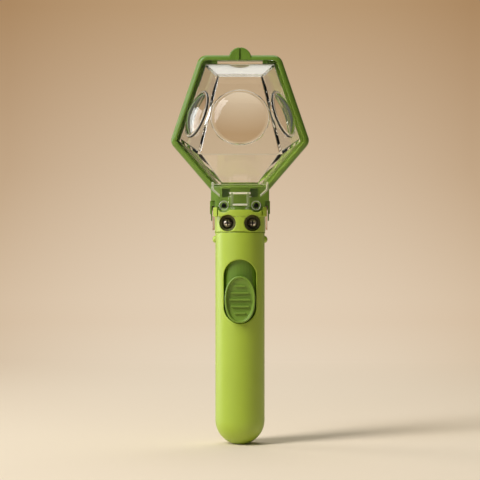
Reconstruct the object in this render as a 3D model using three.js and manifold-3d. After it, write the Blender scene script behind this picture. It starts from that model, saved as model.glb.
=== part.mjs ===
// Bug catcher: a faceted clear viewing chamber with three magnifying lenses on a round grip.
// Pushing the thumb pad up lifts a toothed rack inside the grip. The rack turns a toothed sector
// on the hinge shaft, and the shaft swings the clear trap door open behind the chamber.
// Millimetres, +Z up. The origin is the middle of the grip's flat foot, and the front faces -Y.

import * as THREE from 'three';
import { mergeVertices } from 'three/addons/utils/BufferGeometryUtils.js';
import { ConvexGeometry } from 'three/addons/geometries/ConvexGeometry.js';
import Module from 'manifold-3d';

const wasm = await Module();
wasm.setup();

// Fits shared by all pieces
const runGap = 0.3; // air between neighbouring pieces
const slideGap = 0.4; // air round the pieces that slide
const overrun = 2; // how far a cutter passes the face that it cuts
const seamLap = 0.6; // how far two parts of one piece run into each other
const weldTolerance = 0.0002; // points closer than this are one point
const parallelLimit = 1e-7; // planes whose normals spread less than this never meet
const roundSteps = 32;
const smallSteps = 14;
const cornerSteps = 4;

// Grip
const gripRadius = 16;
const gripTop = 137.2;
const footRadius = 4;
const shellWall = 2.2;
const boreRadius = gripRadius - shellWall;
const bowlCentre = Math.sqrt(gripRadius ** 2 - footRadius ** 2);
const bowlSteps = 7;
const cutReach = gripRadius + overrun;

// Thumb slot and thumb pad
const slotWidth = 20.8;
const slotBottom = 78.8;
const slotTop = 119.6;
const padWidth = 19.6;
const padLength = 30.1;
const padProud = 3; // rim of the pad ahead of the grip
const padRimWidth = 1.6;
const padRimRound = 0.35;
const padRimDepth = 0.7; // from the front of the pad's rim to the start of its rounding
const padDish = 1.7;
const padDishRun = 1.4; // from the rim to the flat of the dish
const padRibProud = 0.7;
const padRibWidth = 1.1;
const padRibPitch = 4.35;
const padRibLengthShares = [0.36, 0.57, 0.68, 0.6, 0.37];
const padBottom = slotBottom + runGap;
const padCentre = padBottom + padLength / 2;
const padFront = -(gripRadius + padProud);
const slideTravel = slotTop - runGap - (padBottom + padLength);

// Carriage behind the slot
const carriageRadius = boreRadius - slideGap;
const carriageWall = 2;
const carriageInner = carriageRadius - carriageWall;
const coverLap = 1.4; // how far the carriage still covers past each end of the slot
const coverEdge = 0.16; // and past each of its sides
const carriageHalfAngle = Math.asin((slotWidth / 2 + coverEdge) / carriageRadius);
const carriageTop = slotTop + coverLap;
const carriageBottom = slotBottom - slideTravel - coverLap;
const railWidth = 1.4;
const railInner = 8.4; // from the middle to the inner edge of each guide rail
const bracketHalfWidth = 4;
const bracketShelf = 2.4;
const bracketCheek = 2.4; // how far the bracket's cheeks reach along the rack's sides

// Collar and its screws
const bandRadius = gripRadius + runGap;
const bandHeight = 9.9;
const collarBottom = gripTop + runGap;
const bandTop = collarBottom + bandHeight;
const ledgeHalfWidth = 17.3;
const ledgeCornerDepth = 10;
const ledgeBackDepth = 7.6;
const ledgeHeight = 4.3;
const postWidth = 2.6;
const postHeight = 5.9;
const postGroove = 0.7; // slot between each post and the ledge
const wellSpacing = 16;
const wellRadius = 5.3;
const wellRise = 5.7; // screws above the collar's lower edge
const wellZ = collarBottom + wellRise;
const wellFloor = -8.6;
const latchSlotShort = 3.4; // the latch slot is this much shorter than the wells' spacing
const latchSlotWidth = wellSpacing - latchSlotShort;
const latchSlotHeight = 0.5;
const innerWellRadius = 3.9;
const innerWellDepth = 2.4;
const shankRadius = 1.2;

// Hinge, with the rim and the door stacked along the depth
const rimDepth = 8;
const rimFront = -1;
const rimBack = rimFront + rimDepth;
const doorThickness = 2;
const doorFront = rimBack + runGap;
const doorBack = doorFront + doorThickness;
const hingeY = (doorFront + doorBack) / 2;
const hingeRise = 6;
const hingeZ = bandTop + hingeRise;
const shaftRadius = 1.5;
const shaftFlat = 1.15; // from the shaft's axis to each of its two flats
const shaftInset = 0.2; // shaft ends inside the ears
const earThickness = 1.3;
const earRadius = 4.3;
const earDepth = 9.3; // from the hinge to the ear's front edge
const earFootThickness = 0.8;
const earFootDrop = 8.6;
const earFootRadius = 1.9;
const webThickness = 1.5; // wall that ties each ear to the neck, ahead of the door's cheek
const webRise = 1; // above the hinge
const cheekThickness = 1.3;
const cheekInner = bandRadius + runGap;
const cheekOuter = cheekInner + cheekThickness;
const earInner = cheekOuter + runGap;
const earOuter = earInner + earThickness;
const cheekRadius = 4;
const cheekTailDrop = 14.9;
const cheekTailWidth = 6.6;
const cheekTailRound = 2;
const knuckleRadius = 3.8;

// Rack and toothed sector
const toothModule = 1;
const gearTeeth = 17;
const pressureAngle = THREE.MathUtils.degToRad(20);
const pitchRadius = (toothModule * gearTeeth) / 2;
const baseRadius = pitchRadius * Math.cos(pressureAngle);
const toothAddendum = toothModule;
const toothDedendum = 1.25 * toothModule;
const toothPitch = Math.PI * toothModule;
const flankGap = 0.15; // taken off each flank of the sector and of the rack
const flankSteps = 3;
const teethAbove = 1;
const teethBelow = 4;
const rackTeeth = 5;
const gearHubRadius = 3.3;
const rackWidth = 5;
const rackThickness = 3.35;
const rackPitchY = hingeY - pitchRadius;
const rackBack = rackPitchY - toothDedendum;
const rackFront = rackBack - rackThickness;
const rackHead = 2.8; // rack above the hinge
const rackTop = hingeZ + rackHead;
const rackLap = 22; // rack behind the carriage
const rackFoot = carriageTop - rackLap;
const mechanismHalfWidth = rackWidth / 2 + slideGap;

// Head frame: neck block and the tang that stands in the grip
const neckHalfWidth = 18.9;
const neckFront = -9;
const neckHeight = 13.6; // above the hinge
const neckTop = hingeZ + neckHeight;
const neckBase = bandTop + runGap;
const tangRadius = boreRadius - runGap;
const tangWall = 2.2;
const tangBore = tangRadius - tangWall;
const tangLength = 9.7; // below the top of the grip
const tangBottom = gripTop - tangLength;
const tangLift = 1.2; // over the carriage at the end of its travel
const tangFrontBottom = carriageTop + slideTravel + tangLift;
const tangLegHalfWidth = 4.3;
const bossRadius = wellRadius - runGap;
const bossWall = 1;
const bossBack = -3.5;

// Rim, drawn as a six-sided outline
const rimAboveNeck = 85.65;
const rimTop = neckTop + rimAboveNeck;
const shoulderX = 26.25;
const elbowX = 45.65;
const elbowAboveNeck = 28.9;
const waistBelowNeckTop = 2.2;
const rimBand = 3.6;
const lipInset = 5.9; // inner edge of the lip that carries the chamber
const lipThickness = 1.5;
const shoulderRound = 6.6;
const elbowRound = 6;
const rimEdgeRound = 0.6;
const tabRadius = 7.43;
const tabRise = 4.95;
const tabThickness = 5.5;
const tabSlitWidth = 0.7;
const tabSlitLength = 7.6;
const tabSlitDepth = 3;
const hookSpacing = 33;
const hookWidth = 3.4;
const hookThickness = 2;
const hookDrop = 1.75;

// Clear chamber
const chamberWall = 2.2;
const flangeInset = 4.6; // from the rim's outer edge
const wallInset = 5;
const flangeThickness = 1.7;
const chamberBack = rimBack - lipThickness - runGap;
const creaseDepth = 40; // ahead of the chamber's open back
const creaseAboveNeck = 19.4;
const faceTopDepth = 26.6;
const faceTopDrop = 9.5;
const sideLean = 15.9; // how far each wall leans in between the open back and the crease
const lowerLean = 3.15;
const bibThickness = 1.8;
const bibBack = neckFront - runGap;
const bibFront = bibBack - bibThickness;
const bibDrop = 7;
const bibHalfWidth = 13.2;
const wingHalfWidth = 18.3;
const wingDrop = 2.6;
const wingRound = 1.6;
const facetFootRise = 1.4;
const lugSpacing = 20.8;
const lugRise = 1.1; // lug screws above the hinge
const lugZ = hingeZ + lugRise;
const lugRadius = 4.2;
const lugThickness = 2.6;
const lugArmWidth = 7;
const lugWellRadius = 3;
const lugWellDepth = 1.6;
const lugHeadHeight = 1.2;
const lugShankLength = 7;
const lugFront = bibBack - lugThickness;
const lugSeat = lugFront + lugWellDepth;
const socketRadius = 0.95;
const socketDepth = 0.9;
const socketSides = 6;
const tongueHalfWidth = 5.9;
const tongueRib = 1.5;
const tongueDrop = 15; // tongue's foot below the neck's top
const tongueHead = 4; // tongue's top bar below the neck's top
const tongueProud = 2;
const tongueBar = 1.2;
const tongueFlare = 1;
const tongueStep = 2.4;
const pocketSpacing = 18;
const pocketWidth = 5.2;
const pocketHeight = 5.4;
const pocketDrop = 1.6;
const pocketDepth = 5;

// Lenses
const frontSeatRadius = 18.55;
const frontHoleRadius = 17.15;
const frontLensAboveNeck = 43;
const frontDome = 3.6;
const frontLip = 1; // thickness of the flat ring round the dome
const sideSeatRadius = 15.8;
const sideHoleRadius = 14.2;
const sideLensAboveNeck = 46.2;
const sideDome = 4;
const sideLip = 2;
const seatDepth = 1.1;
const innerDome = 1.2;
const domeSteps = 4;

// Trap door
const doorInset = 0.4;
const doorBeadWidth = 2;
const doorBeadHeight = 1.1;
const doorFootRise = 5.2; // plate's lower edge above the hinge

// Screws and side pins
const gripScrewDrop = 13.5; // upper grip screw below the carriage
const gripScrewRise = 24;
const gripPostRadius = 3.4;
const gripHeadSeat = 9;
const gripScrewReach = 6.5;
const smallHeadRadius = 1.9;
const smallHeadHeight = 1.1;
const smallShankRadius = 0.9;
const padScrewDrop = 6.1; // below the middle of the pad
const padSkin = 0.8; // pad left in front of its screw
const padHeadGap = 0.5;
const rackScrewRise = 5; // above the rack's foot
const rackScrewReach = 4.5;
const pinDrop = 4.5; // below the top of the grip
const pinZ = gripTop - pinDrop;
const pinShankRadius = 1.6;
const pinShankReach = 12;
const pinHeadRadius = 2.4;
const pinHeadHeight = 2.2;
const pinSeatDepth = 0.6;
const pinSeatX = gripRadius - pinSeatDepth;

const collarScrew = { headRadius: 2.6, headHeight: 1.6, shank: shankRadius, length: 10.6, drive: 'cross' };
const lugScrew = {
  headRadius: 1.6,
  headHeight: lugHeadHeight,
  shank: smallShankRadius,
  length: lugShankLength,
  drive: 'socket',
};
const gripScrew = { headRadius: 2.3, headHeight: 1.5, shank: shankRadius, length: 13, drive: 'cross' };
const smallHead = { headRadius: smallHeadRadius, headHeight: smallHeadHeight, shank: smallShankRadius };
const crossWidthShare = 0.27; // of the head's radius
const crossReachShare = 0.66;
const crossDepthShare = 0.5; // of the head's height
const crownShare = 1 / 3;

// Inside the back shell
const prongInside = 3.4; // from the collar screw's axis to the prong's inner side
const prongOutside = 1.9;
const prongInner = wellSpacing / 2 - prongInside;
const prongOuter = wellSpacing / 2 + prongOutside;
const prongFront = 0.5;
const prongBack = 4.6;
const bridgeHeight = 9;
const springWidth = 4;
const springThickness = 0.4;
const springDrop = 10.6; // bent foot of the click spring, below the top of the slot
const springFoot = slotTop - springDrop;
const springRise = 21;
const springFootDepth = 4;
const springBumpRise = 15;
const springBumpHalf = 2.2;
const springFace = 0.2; // spring's flat front
const springPostWidth = 5.2;
const springPostHeight = 6;
const springPostShare = 1 / 3; // of the post, below the spring's foot
const notchDepth = 0.7;
const notchHalf = 1.6;

// Finishes
const lime = { color: 0xa6c23c, roughness: 0.42 };
const leafGreen = { color: 0x5d8a2a, roughness: 0.42 };
const padGreen = { color: 0x668f35, roughness: 0.45 };
const clearAcrylic = { color: 0xf2f0ea, roughness: 0.05, transparent: true, opacity: 0.35 };
const brightSteel = { color: 0xc9c6c0, roughness: 0.25, metalness: 1 };
const blackSteel = { color: 0x1d1f1c, roughness: 0.4, metalness: 0.8 };

const vector = (x, y, z) => new THREE.Vector3(x, y, z);

// Closed mesh to solid. A mesh that came out with its faces pointing inward is turned round.
function solidFrom(geometry) {
  const bare = geometry.clone();
  for (const name of Object.keys(bare.attributes)) {
    if (name !== 'position') bare.deleteAttribute(name);
  }
  const welded = mergeVertices(bare, weldTolerance);
  const points = Float32Array.from(welded.attributes.position.array);
  const corner = (i) => vector(points[3 * i], points[3 * i + 1], points[3 * i + 2]);
  const faces = [];
  let volume = 0;
  for (let i = 0; i < welded.index.count; i += 3) {
    const face = [0, 1, 2].map((k) => welded.index.getX(i + k));
    if (new Set(face).size < 3) continue;
    faces.push(face);
    const [a, b, c] = face.map(corner);
    volume += a.dot(b.cross(c));
  }
  if (volume < 0) faces.forEach((face) => face.reverse());
  const triVerts = Uint32Array.from(faces.flat());
  return new wasm.Manifold(new wasm.Mesh({ numProp: 3, vertProperties: points, triVerts }));
}

function geometryFrom(solid) {
  const { vertProperties, triVerts } = solid.getMesh();
  const geometry = new THREE.BufferGeometry();
  geometry.setAttribute('position', new THREE.BufferAttribute(Float32Array.from(vertProperties), 3));
  geometry.setIndex(new THREE.BufferAttribute(Uint32Array.from(triVerts), 1));
  geometry.computeVertexNormals();
  return geometry;
}

const join = (first, ...others) => others.reduce((sum, solid) => sum.add(solid), first);
const cut = (body, ...cutters) => cutters.reduce((rest, solid) => rest.subtract(solid), body);
const both = (solid) => solid.add(solid.mirror([1, 0, 0])); // the solid and its mirror image in X

// Box between two values along each axis
function block([x0, x1], [y0, y1], [z0, z1]) {
  const box = new THREE.BoxGeometry(x1 - x0, y1 - y0, z1 - z0);
  return solidFrom(box.translate((x0 + x1) / 2, (y0 + y1) / 2, (z0 + z1) / 2));
}

// Round bar between two points
function bar(start, end, radius, steps = smallSteps) {
  const along = end.clone().sub(start);
  const rod = new THREE.CylinderGeometry(radius, radius, along.length(), steps);
  rod.applyQuaternion(new THREE.Quaternion().setFromUnitVectors(vector(0, 1, 0), along.normalize()));
  const middle = start.clone().add(end).multiplyScalar(1 / 2);
  return solidFrom(rod.translate(middle.x, middle.y, middle.z));
}

const barAlongX = (y, z, radius, x0, x1, steps) => bar(vector(x0, y, z), vector(x1, y, z), radius, steps);
const barAlongY = (x, z, radius, y0, y1, steps) => bar(vector(x, y0, z), vector(x, y1, z), radius, steps);
const barAlongZ = (radius, z0, z1, steps) => bar(vector(0, 0, z0), vector(0, 0, z1), radius, steps);

function arc(centreX, centreY, radius, from, to, steps) {
  return Array.from({ length: steps + 1 }, (_, k) => {
    const angle = from + ((to - from) * k) / steps;
    return [centreX + radius * Math.cos(angle), centreY + radius * Math.sin(angle)];
  });
}

function circle(centreX, centreY, radius, steps) {
  return arc(centreX, centreY, radius, 0, 2 * Math.PI * (1 - 1 / steps), steps - 1);
}

// Outline with rounded corners from [x, y, radius] corners
function rounded(corners) {
  return corners.flatMap(([x, y, radius = 0], i) => {
    if (radius <= 0) return [[x, y]];
    const here = new THREE.Vector2(x, y);
    const [beforeX, beforeY] = corners.at(i - 1);
    const [afterX, afterY] = corners[(i + 1) % corners.length];
    const before = new THREE.Vector2(beforeX, beforeY).sub(here).normalize();
    const after = new THREE.Vector2(afterX, afterY).sub(here).normalize();
    const half = Math.acos(before.dot(after)) / 2;
    const middle = before.clone().add(after).normalize();
    const centre = here.clone().addScaledVector(middle, radius / Math.sin(half));
    const first = here.clone().addScaledVector(before, radius / Math.tan(half)).sub(centre);
    const last = here.clone().addScaledVector(after, radius / Math.tan(half)).sub(centre);
    const sweep = Math.atan2(first.cross(last), first.dot(last));
    return arc(centre.x, centre.y, radius, first.angle(), first.angle() + sweep, cornerSteps);
  });
}

function extrusion(points, depth, bevel = 0) {
  const shape = new THREE.Shape(points.map(([x, y]) => new THREE.Vector2(x, y)));
  const edge = { bevelEnabled: bevel > 0, bevelThickness: bevel, bevelSize: bevel, bevelOffset: -bevel };
  const settings = { depth: depth - 2 * bevel, steps: 1, bevelSegments: 2, ...edge };
  return new THREE.ExtrudeGeometry(shape, settings).translate(0, 0, bevel);
}

// Outline in X and Z, as seen from the front, between two depths
function frontSlab(points, y0, y1, bevel) {
  return solidFrom(extrusion(points, y1 - y0, bevel).rotateX(Math.PI / 2).translate(0, y1, 0));
}

// Outline in Y and Z, as seen from the side, between two widths
function sideSlab(points, x0, x1) {
  const turn = new THREE.Matrix4().makeBasis(vector(0, 1, 0), vector(0, 0, 1), vector(1, 0, 0));
  return solidFrom(extrusion(points, x1 - x0).applyMatrix4(turn).translate(x0, 0, 0));
}

// Outline in X and Y, as seen from above, between two heights
const planSlab = (points, z0, z1) => solidFrom(extrusion(points, z1 - z0).translate(0, 0, z0));

// Revolved outline of [radius, height] points about Z
function revolved(profile, steps = roundSteps) {
  const points = profile.map(([radius, height]) => new THREE.Vector2(radius, height));
  return solidFrom(new THREE.LatheGeometry(points, steps).rotateX(Math.PI / 2));
}

// Closed skin over rings that all have as many points, with a fan over each end
function loft(rings) {
  const count = rings[0].length;
  const middle = (ring) => ring.reduce((sum, p) => sum.add(p), vector(0, 0, 0)).divideScalar(count);
  const points = [...rings.flat(), middle(rings[0]), middle(rings.at(-1))];
  const [startMiddle, endMiddle] = [points.length - 2, points.length - 1];
  const faces = [];
  for (let k = 0; k < count; k++) {
    const next = (k + 1) % count;
    faces.push([startMiddle, next, k]);
    for (let r = 0; r < rings.length - 1; r++) {
      const [low, high] = [r * count, (r + 1) * count];
      faces.push([low + k, low + next, high + next], [low + k, high + next, high + k]);
    }
    const last = (rings.length - 1) * count;
    faces.push([endMiddle, last + k, last + next]);
  }
  const geometry = new THREE.BufferGeometry().setFromPoints(points);
  geometry.setIndex(faces.flat());
  return solidFrom(geometry);
}

// Point where three planes meet
function meetPlanes(a, b, c) {
  const across = b.normal.clone().cross(c.normal);
  const spread = a.normal.dot(across);
  if (Math.abs(spread) < parallelLimit) return null;
  const point = across.multiplyScalar(-a.constant);
  point.addScaledVector(c.normal.clone().cross(a.normal), -b.constant);
  point.addScaledVector(a.normal.clone().cross(b.normal), -c.constant);
  return point.divideScalar(spread);
}

// Solid behind all of the planes
function polyhedron(planes) {
  const corners = [];
  planes.forEach((a, i) => {
    planes.slice(i + 1).forEach((b, j) => {
      planes.slice(i + j + 2).forEach((c) => {
        const point = meetPlanes(a, b, c);
        if (!point || planes.some((plane) => plane.distanceToPoint(point) > weldTolerance)) return;
        if (!corners.some((corner) => corner.distanceTo(point) < weldTolerance)) corners.push(point);
      });
    });
  });
  return solidFrom(new ConvexGeometry(corners));
}

// Head outline, seen from the front
const waist = new THREE.Vector2(neckHalfWidth, neckTop - waistBelowNeckTop);
const elbow = new THREE.Vector2(elbowX, neckTop + elbowAboveNeck);
const shoulder = new THREE.Vector2(shoulderX, rimTop);

// Line from a to b, moved to its left by a distance
function shifted(a, b, distance) {
  const along = b.clone().sub(a).normalize();
  const left = new THREE.Vector2(-along.y, along.x);
  return { start: a.clone().addScaledVector(left, distance), along };
}

function meetLines(first, second) {
  const between = second.start.clone().sub(first.start);
  const length = between.cross(second.along) / first.along.cross(second.along);
  return first.start.clone().addScaledVector(first.along, length);
}

const levelLine = (height) => ({ start: new THREE.Vector2(0, height), along: new THREE.Vector2(1, 0) });
const uprightLine = (x) => ({ start: new THREE.Vector2(x, 0), along: new THREE.Vector2(0, 1) });
const lowerEdge = (inset) => shifted(waist, elbow, inset);
const sideEdge = (inset) => shifted(elbow, shoulder, inset);

// The head's six corners, moved in from the rim's outer edge, with a level lower edge
function headOutline(inset, floor) {
  const foot = meetLines(lowerEdge(inset), levelLine(floor));
  const side = meetLines(lowerEdge(inset), sideEdge(inset));
  const top = meetLines(sideEdge(inset), levelLine(rimTop - inset));
  const right = [
    [foot.x, foot.y, 0],
    [side.x, side.y, elbowRound - inset],
    [top.x, top.y, shoulderRound - inset],
  ];
  const left = right.map(([x, y, radius]) => [-x, y, radius]).reverse();
  return rounded([...right, ...left]);
}

// Grip shells
const gripBody = revolved([
  [0, 0],
  ...arc(0, bowlCentre, gripRadius, -Math.acos(footRadius / gripRadius), 0, bowlSteps),
  [gripRadius, gripTop],
  [0, gripTop],
]);

const gripBore = revolved([
  ...arc(0, bowlCentre, boreRadius, -Math.PI / 2, 0, bowlSteps),
  [boreRadius, gripTop + overrun],
  [0, gripTop + overrun],
]);

const bandTube = cut(
  barAlongZ(bandRadius, collarBottom, bandTop, roundSteps),
  barAlongZ(boreRadius, collarBottom - overrun, bandTop + overrun, roundSteps),
);

const allHeights = [-overrun, bandTop + overrun];
const frontHalf = block([-cutReach, cutReach], [-cutReach, -runGap / 2], allHeights);
const backHalf = block([-cutReach, cutReach], [runGap / 2, cutReach], allHeights);
const gripScrewZs = [gripScrewRise, carriageBottom - gripScrewDrop];
const gripPosts = join(...gripScrewZs.map((z) => barAlongY(0, z, gripPostRadius, -cutReach, cutReach)));

const pinHoles = both(
  barAlongX(0, pinZ, pinShankRadius + runGap, 0, cutReach).add(
    barAlongX(0, pinZ, pinHeadRadius + runGap, pinSeatX, cutReach),
  ),
);

function slotCutter() {
  const half = slotWidth / 2;
  const outline = [
    ...arc(0, slotBottom + half, half, Math.PI, 2 * Math.PI, 3 * cornerSteps),
    ...arc(0, slotTop - half, half, 0, Math.PI, 3 * cornerSteps),
  ];
  return frontSlab(outline, -cutReach, -runGap);
}

function gripFrontShell() {
  const railFront = -carriageInner * Math.cos(carriageHalfAngle) + runGap;
  const railZ = [carriageBottom, tangFrontBottom - runGap];
  const rails = both(block([railInner, cutReach], [railFront, railFront + railWidth], railZ));
  const inside = rails.add(gripPosts).intersect(gripBody);
  const pilots = gripScrewZs.map((z) =>
    barAlongY(0, z, shankRadius + runGap, -gripScrewReach - runGap, overrun),
  );
  const shell = cut(gripBody, gripBore).add(inside).intersect(frontHalf);
  return cut(shell, slotCutter(), pinHoles, ...pilots);
}

function gripBackShell() {
  const lowBand = bandTube.add(bandTube.translate([0, 0, -seamLap])).intersect(backHalf);
  const prongX = [prongInner, prongOuter];
  const prongFoot = tangBottom - bridgeHeight;
  const upright = block(prongX, [prongFront, prongBack], [prongFoot, bandTop]);
  const bridgeZ = [prongFoot, tangBottom - runGap];
  const bridge = block(prongX, [prongFront, cutReach], bridgeZ).intersect(gripBody);
  const springPostFoot = springFoot - springPostHeight * springPostShare;
  const springPost = block(
    [-springPostWidth / 2, springPostWidth / 2],
    [springFace + springThickness + runGap, cutReach],
    [springPostFoot, springPostFoot + springPostHeight],
  ).intersect(gripBody);
  const springSeat = block(
    [-springWidth / 2 - runGap, springWidth / 2 + runGap],
    [-overrun, springFace + springThickness + springFootDepth + runGap],
    [springFoot - runGap, springFoot + springThickness + runGap],
  );
  const screwHoles = gripScrewZs.map((z) =>
    barAlongY(0, z, shankRadius + runGap, -overrun, cutReach).add(
      barAlongY(0, z, gripScrew.headRadius + runGap, gripHeadSeat, cutReach),
    ),
  );
  const prongHoleY = [-overrun, prongBack + overrun];
  const prongHoles = both(barAlongY(wellSpacing / 2, wellZ, shankRadius + runGap, ...prongHoleY));
  const shell = cut(gripBody, gripBore).add(gripPosts.intersect(gripBody)).intersect(backHalf);
  const whole = join(shell, lowBand, both(upright), both(bridge), cut(springPost, springSeat));
  return cut(whole, pinHoles, prongHoles, ...screwHoles);
}

// Collar
// Front half of the band, with the ledge that widens to a post at each end
function ledgeOutline() {
  const sagitta = bandRadius - ledgeCornerDepth;
  const radius = (ledgeHalfWidth ** 2 + sagitta ** 2) / (2 * sagitta);
  const half = Math.asin(ledgeHalfWidth / radius);
  return [
    ...arc(0, radius - bandRadius, radius, -Math.PI / 2 - half, -Math.PI / 2 + half, 4 * cornerSteps),
    [ledgeHalfWidth, -ledgeBackDepth],
    [-ledgeHalfWidth, -ledgeBackDepth],
  ];
}

function collar() {
  const ledge = planSlab(ledgeOutline(), bandTop, bandTop + ledgeHeight);
  const postSpace = block(
    [ledgeHalfWidth - postWidth, ledgeHalfWidth + overrun],
    [-cutReach, 0],
    [bandTop, bandTop + postHeight],
  );
  const posts = both(planSlab(ledgeOutline(), bandTop, bandTop + postHeight).intersect(postSpace));
  const bore = barAlongZ(boreRadius, collarBottom - overrun, bandTop + postHeight + overrun, roundSteps);
  const wellY = [-cutReach - overrun, -runGap];
  const wells = both(barAlongY(wellSpacing / 2, wellZ, wellRadius, ...wellY, roundSteps));
  const notches = both(barAlongY(lugSpacing / 2, lugZ, lugRadius + runGap, -cutReach - overrun, 0));
  const latchSlot = block(
    [-latchSlotWidth / 2, latchSlotWidth / 2],
    [-cutReach, -boreRadius / 2],
    [collarBottom - overrun, collarBottom + latchSlotHeight],
  );
  const postInner = ledgeHalfWidth - postWidth;
  const grooves = both(
    block(
      [postInner - postGroove, postInner],
      [-cutReach, -ledgeCornerDepth],
      [bandTop, bandTop + postHeight + overrun],
    ),
  );
  const band = bandTube.intersect(frontHalf);
  const top = cut(join(ledge, posts), bore, grooves);
  return cut(join(band, top), wells, notches, latchSlot);
}

// Head frame
function rim() {
  const tabCentre = rimTop + tabRise - tabRadius;
  const tab = frontSlab(
    circle(0, tabCentre, tabRadius, 2 * smallSteps),
    rimFront,
    rimFront + tabThickness,
    rimEdgeRound,
  );
  const slit = block(
    [-tabSlitWidth / 2, tabSlitWidth / 2],
    [rimFront - overrun, rimFront + tabSlitDepth],
    [rimTop + tabRise - tabSlitLength, rimTop + tabRise + overrun],
  );
  const hookBack = chamberBack - flangeThickness - runGap;
  const hookInner = (hookSpacing - hookWidth) / 2;
  const hook = block(
    [hookInner, hookInner + hookWidth],
    [hookBack - hookThickness, hookBack],
    [rimTop - rimBand - hookDrop, rimTop - rimBand / 2],
  );
  const outer = frontSlab(headOutline(0, waist.y), rimFront, rimBack, rimEdgeRound);
  const opening = frontSlab(headOutline(lipInset, neckTop), rimFront - overrun, rimBack + overrun);
  const seat = frontSlab(headOutline(rimBand, neckTop), rimFront - overrun, rimBack - lipThickness);
  const topWindow = block(
    [-hookInner, hookInner],
    [rimFront - overrun, rimBack + overrun],
    [rimTop - lipInset - overrun, rimTop - rimBand],
  );
  return cut(join(outer, tab), opening, seat, topWindow, slit).add(both(hook));
}

function hingeEar() {
  const outline = [
    [hingeY - earDepth, hingeZ - earRadius],
    ...arc(hingeY, hingeZ, earRadius, -Math.PI / 2, Math.PI / 2, 2 * cornerSteps),
    [hingeY - earDepth, hingeZ + earRadius],
  ];
  const plate = sideSlab(outline, earInner, earOuter);
  const link = block(
    [earInner, neckHalfWidth],
    [hingeY - earDepth, rimBack],
    [hingeZ + earRadius - earThickness, hingeZ + earRadius + earThickness],
  );
  const footX = [earInner, earInner + earFootThickness];
  const footZ = [hingeZ - earFootDrop + earFootRadius, hingeZ - earRadius + earThickness];
  const foot = block(footX, [hingeY - earFootRadius, hingeY + earFootRadius], footZ);
  const tip = barAlongX(hingeY, footZ[0], earFootRadius, ...footX);
  const web = block(
    [bandRadius - earThickness, earInner + earThickness / 2],
    [hingeY - earDepth, hingeY - earDepth + webThickness],
    [hingeZ + webRise, hingeZ + earRadius],
  );
  return join(plate, link, foot, tip, web);
}

function tang() {
  const tube = cut(
    barAlongZ(tangRadius, tangBottom, neckBase + overrun, roundSteps),
    barAlongZ(tangBore, tangBottom - overrun, neckBase, roundSteps),
  );
  const frontWindow = block([-cutReach, cutReach], [-cutReach, -tangLegHalfWidth], [0, tangFrontBottom]);
  const backWindow = block([-cutReach, cutReach], [tangLegHalfWidth, cutReach], [0, tangFrontBottom]);
  const x = wellSpacing / 2;
  const cupBack = rackFront - seamLap;
  const cupOuter = barAlongY(x, wellZ, bossRadius + bossWall, -cutReach, cupBack, roundSteps);
  const cup = cupOuter.intersect(barAlongZ(tangRadius, tangBottom, hingeZ, roundSteps));
  const boss = barAlongY(x, wellZ, bossRadius, wellFloor, bossBack, roundSteps);
  const well = barAlongY(x, wellZ, bossRadius, -cutReach - overrun, wellFloor, roundSteps);
  const innerWellBack = wellFloor + innerWellDepth;
  const innerWell = barAlongY(x, wellZ, innerWellRadius, -cutReach, innerWellBack, roundSteps);
  const shankHole = barAlongY(x, wellZ, shankRadius + runGap, -cutReach, prongBack + overrun);
  const bosses = both(cut(cup, well).add(boss));
  return cut(join(cut(tube, frontWindow, backWindow), bosses), both(innerWell), both(shankHole));
}

function neck() {
  const upper = block([-neckHalfWidth, neckHalfWidth], [neckFront, rimBack], [hingeZ + earRadius, neckTop]);
  const coreX = [-bandRadius, bandRadius];
  const aboveCollar = bandTop + postHeight + runGap;
  const core = block(coreX, [-ledgeBackDepth + runGap, rimBack], [neckBase, hingeZ + earRadius + overrun]);
  const coreFront = block(coreX, [neckFront, 0], [aboveCollar, hingeZ + earRadius + overrun]);
  const plug = barAlongZ(tangRadius, neckBase, hingeZ, roundSteps);
  const frontSpace = block(
    [-cutReach, cutReach],
    [-cutReach - overrun, neckFront],
    [lugZ - lugRadius - runGap, neckTop + overrun],
  );
  const knuckles = barAlongX(hingeY, hingeZ, knuckleRadius, -bandRadius, bandRadius);
  const pocketTop = neckTop - pocketDrop;
  const pocket = block(
    [(pocketSpacing - pocketWidth) / 2, (pocketSpacing + pocketWidth) / 2],
    [neckFront - overrun, neckFront + pocketDepth],
    [pocketTop - pocketHeight, pocketTop],
  );
  return cut(join(upper, core, coreFront, plug, knuckles), frontSpace, both(pocket));
}

function headFrame() {
  const gearSpace = block(
    [-mechanismHalfWidth, mechanismHalfWidth],
    [rackFront - slideGap, cutReach],
    [tangFrontBottom, neckTop + overrun],
  );
  const gearClearance = pitchRadius + toothAddendum + slideGap;
  const rackSpace = block(
    [-mechanismHalfWidth, mechanismHalfWidth],
    [rackFront - slideGap, hingeY + gearClearance],
    [tangBottom - overrun, neckTop + overrun],
  );
  const shaftEnd = cutReach + overrun;
  const shaftBore = barAlongX(hingeY, hingeZ, shaftRadius + runGap, -shaftEnd, shaftEnd);
  const lugHoleY = [neckFront - overrun, lugSeat + lugShankLength];
  const lugHole = barAlongY(lugSpacing / 2, lugZ, lugScrew.shank + runGap, ...lugHoleY);
  const whole = join(rim(), neck(), tang(), both(hingeEar()));
  return cut(whole, gearSpace, rackSpace, pinHoles, shaftBore, both(lugHole));
}

// Chamber
// Flat walls that lean in from the head's outline towards the front
const wallBack = chamberBack;
const creaseY = wallBack - creaseDepth;
const creaseZ = neckTop + creaseAboveNeck;
const faceTopZ = rimTop - wallInset - faceTopDrop;
const faceTopY = wallBack - faceTopDepth;

function plane(normal, point) {
  return new THREE.Plane().setFromNormalAndCoplanarPoint(normal.normalize(), point);
}

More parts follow.
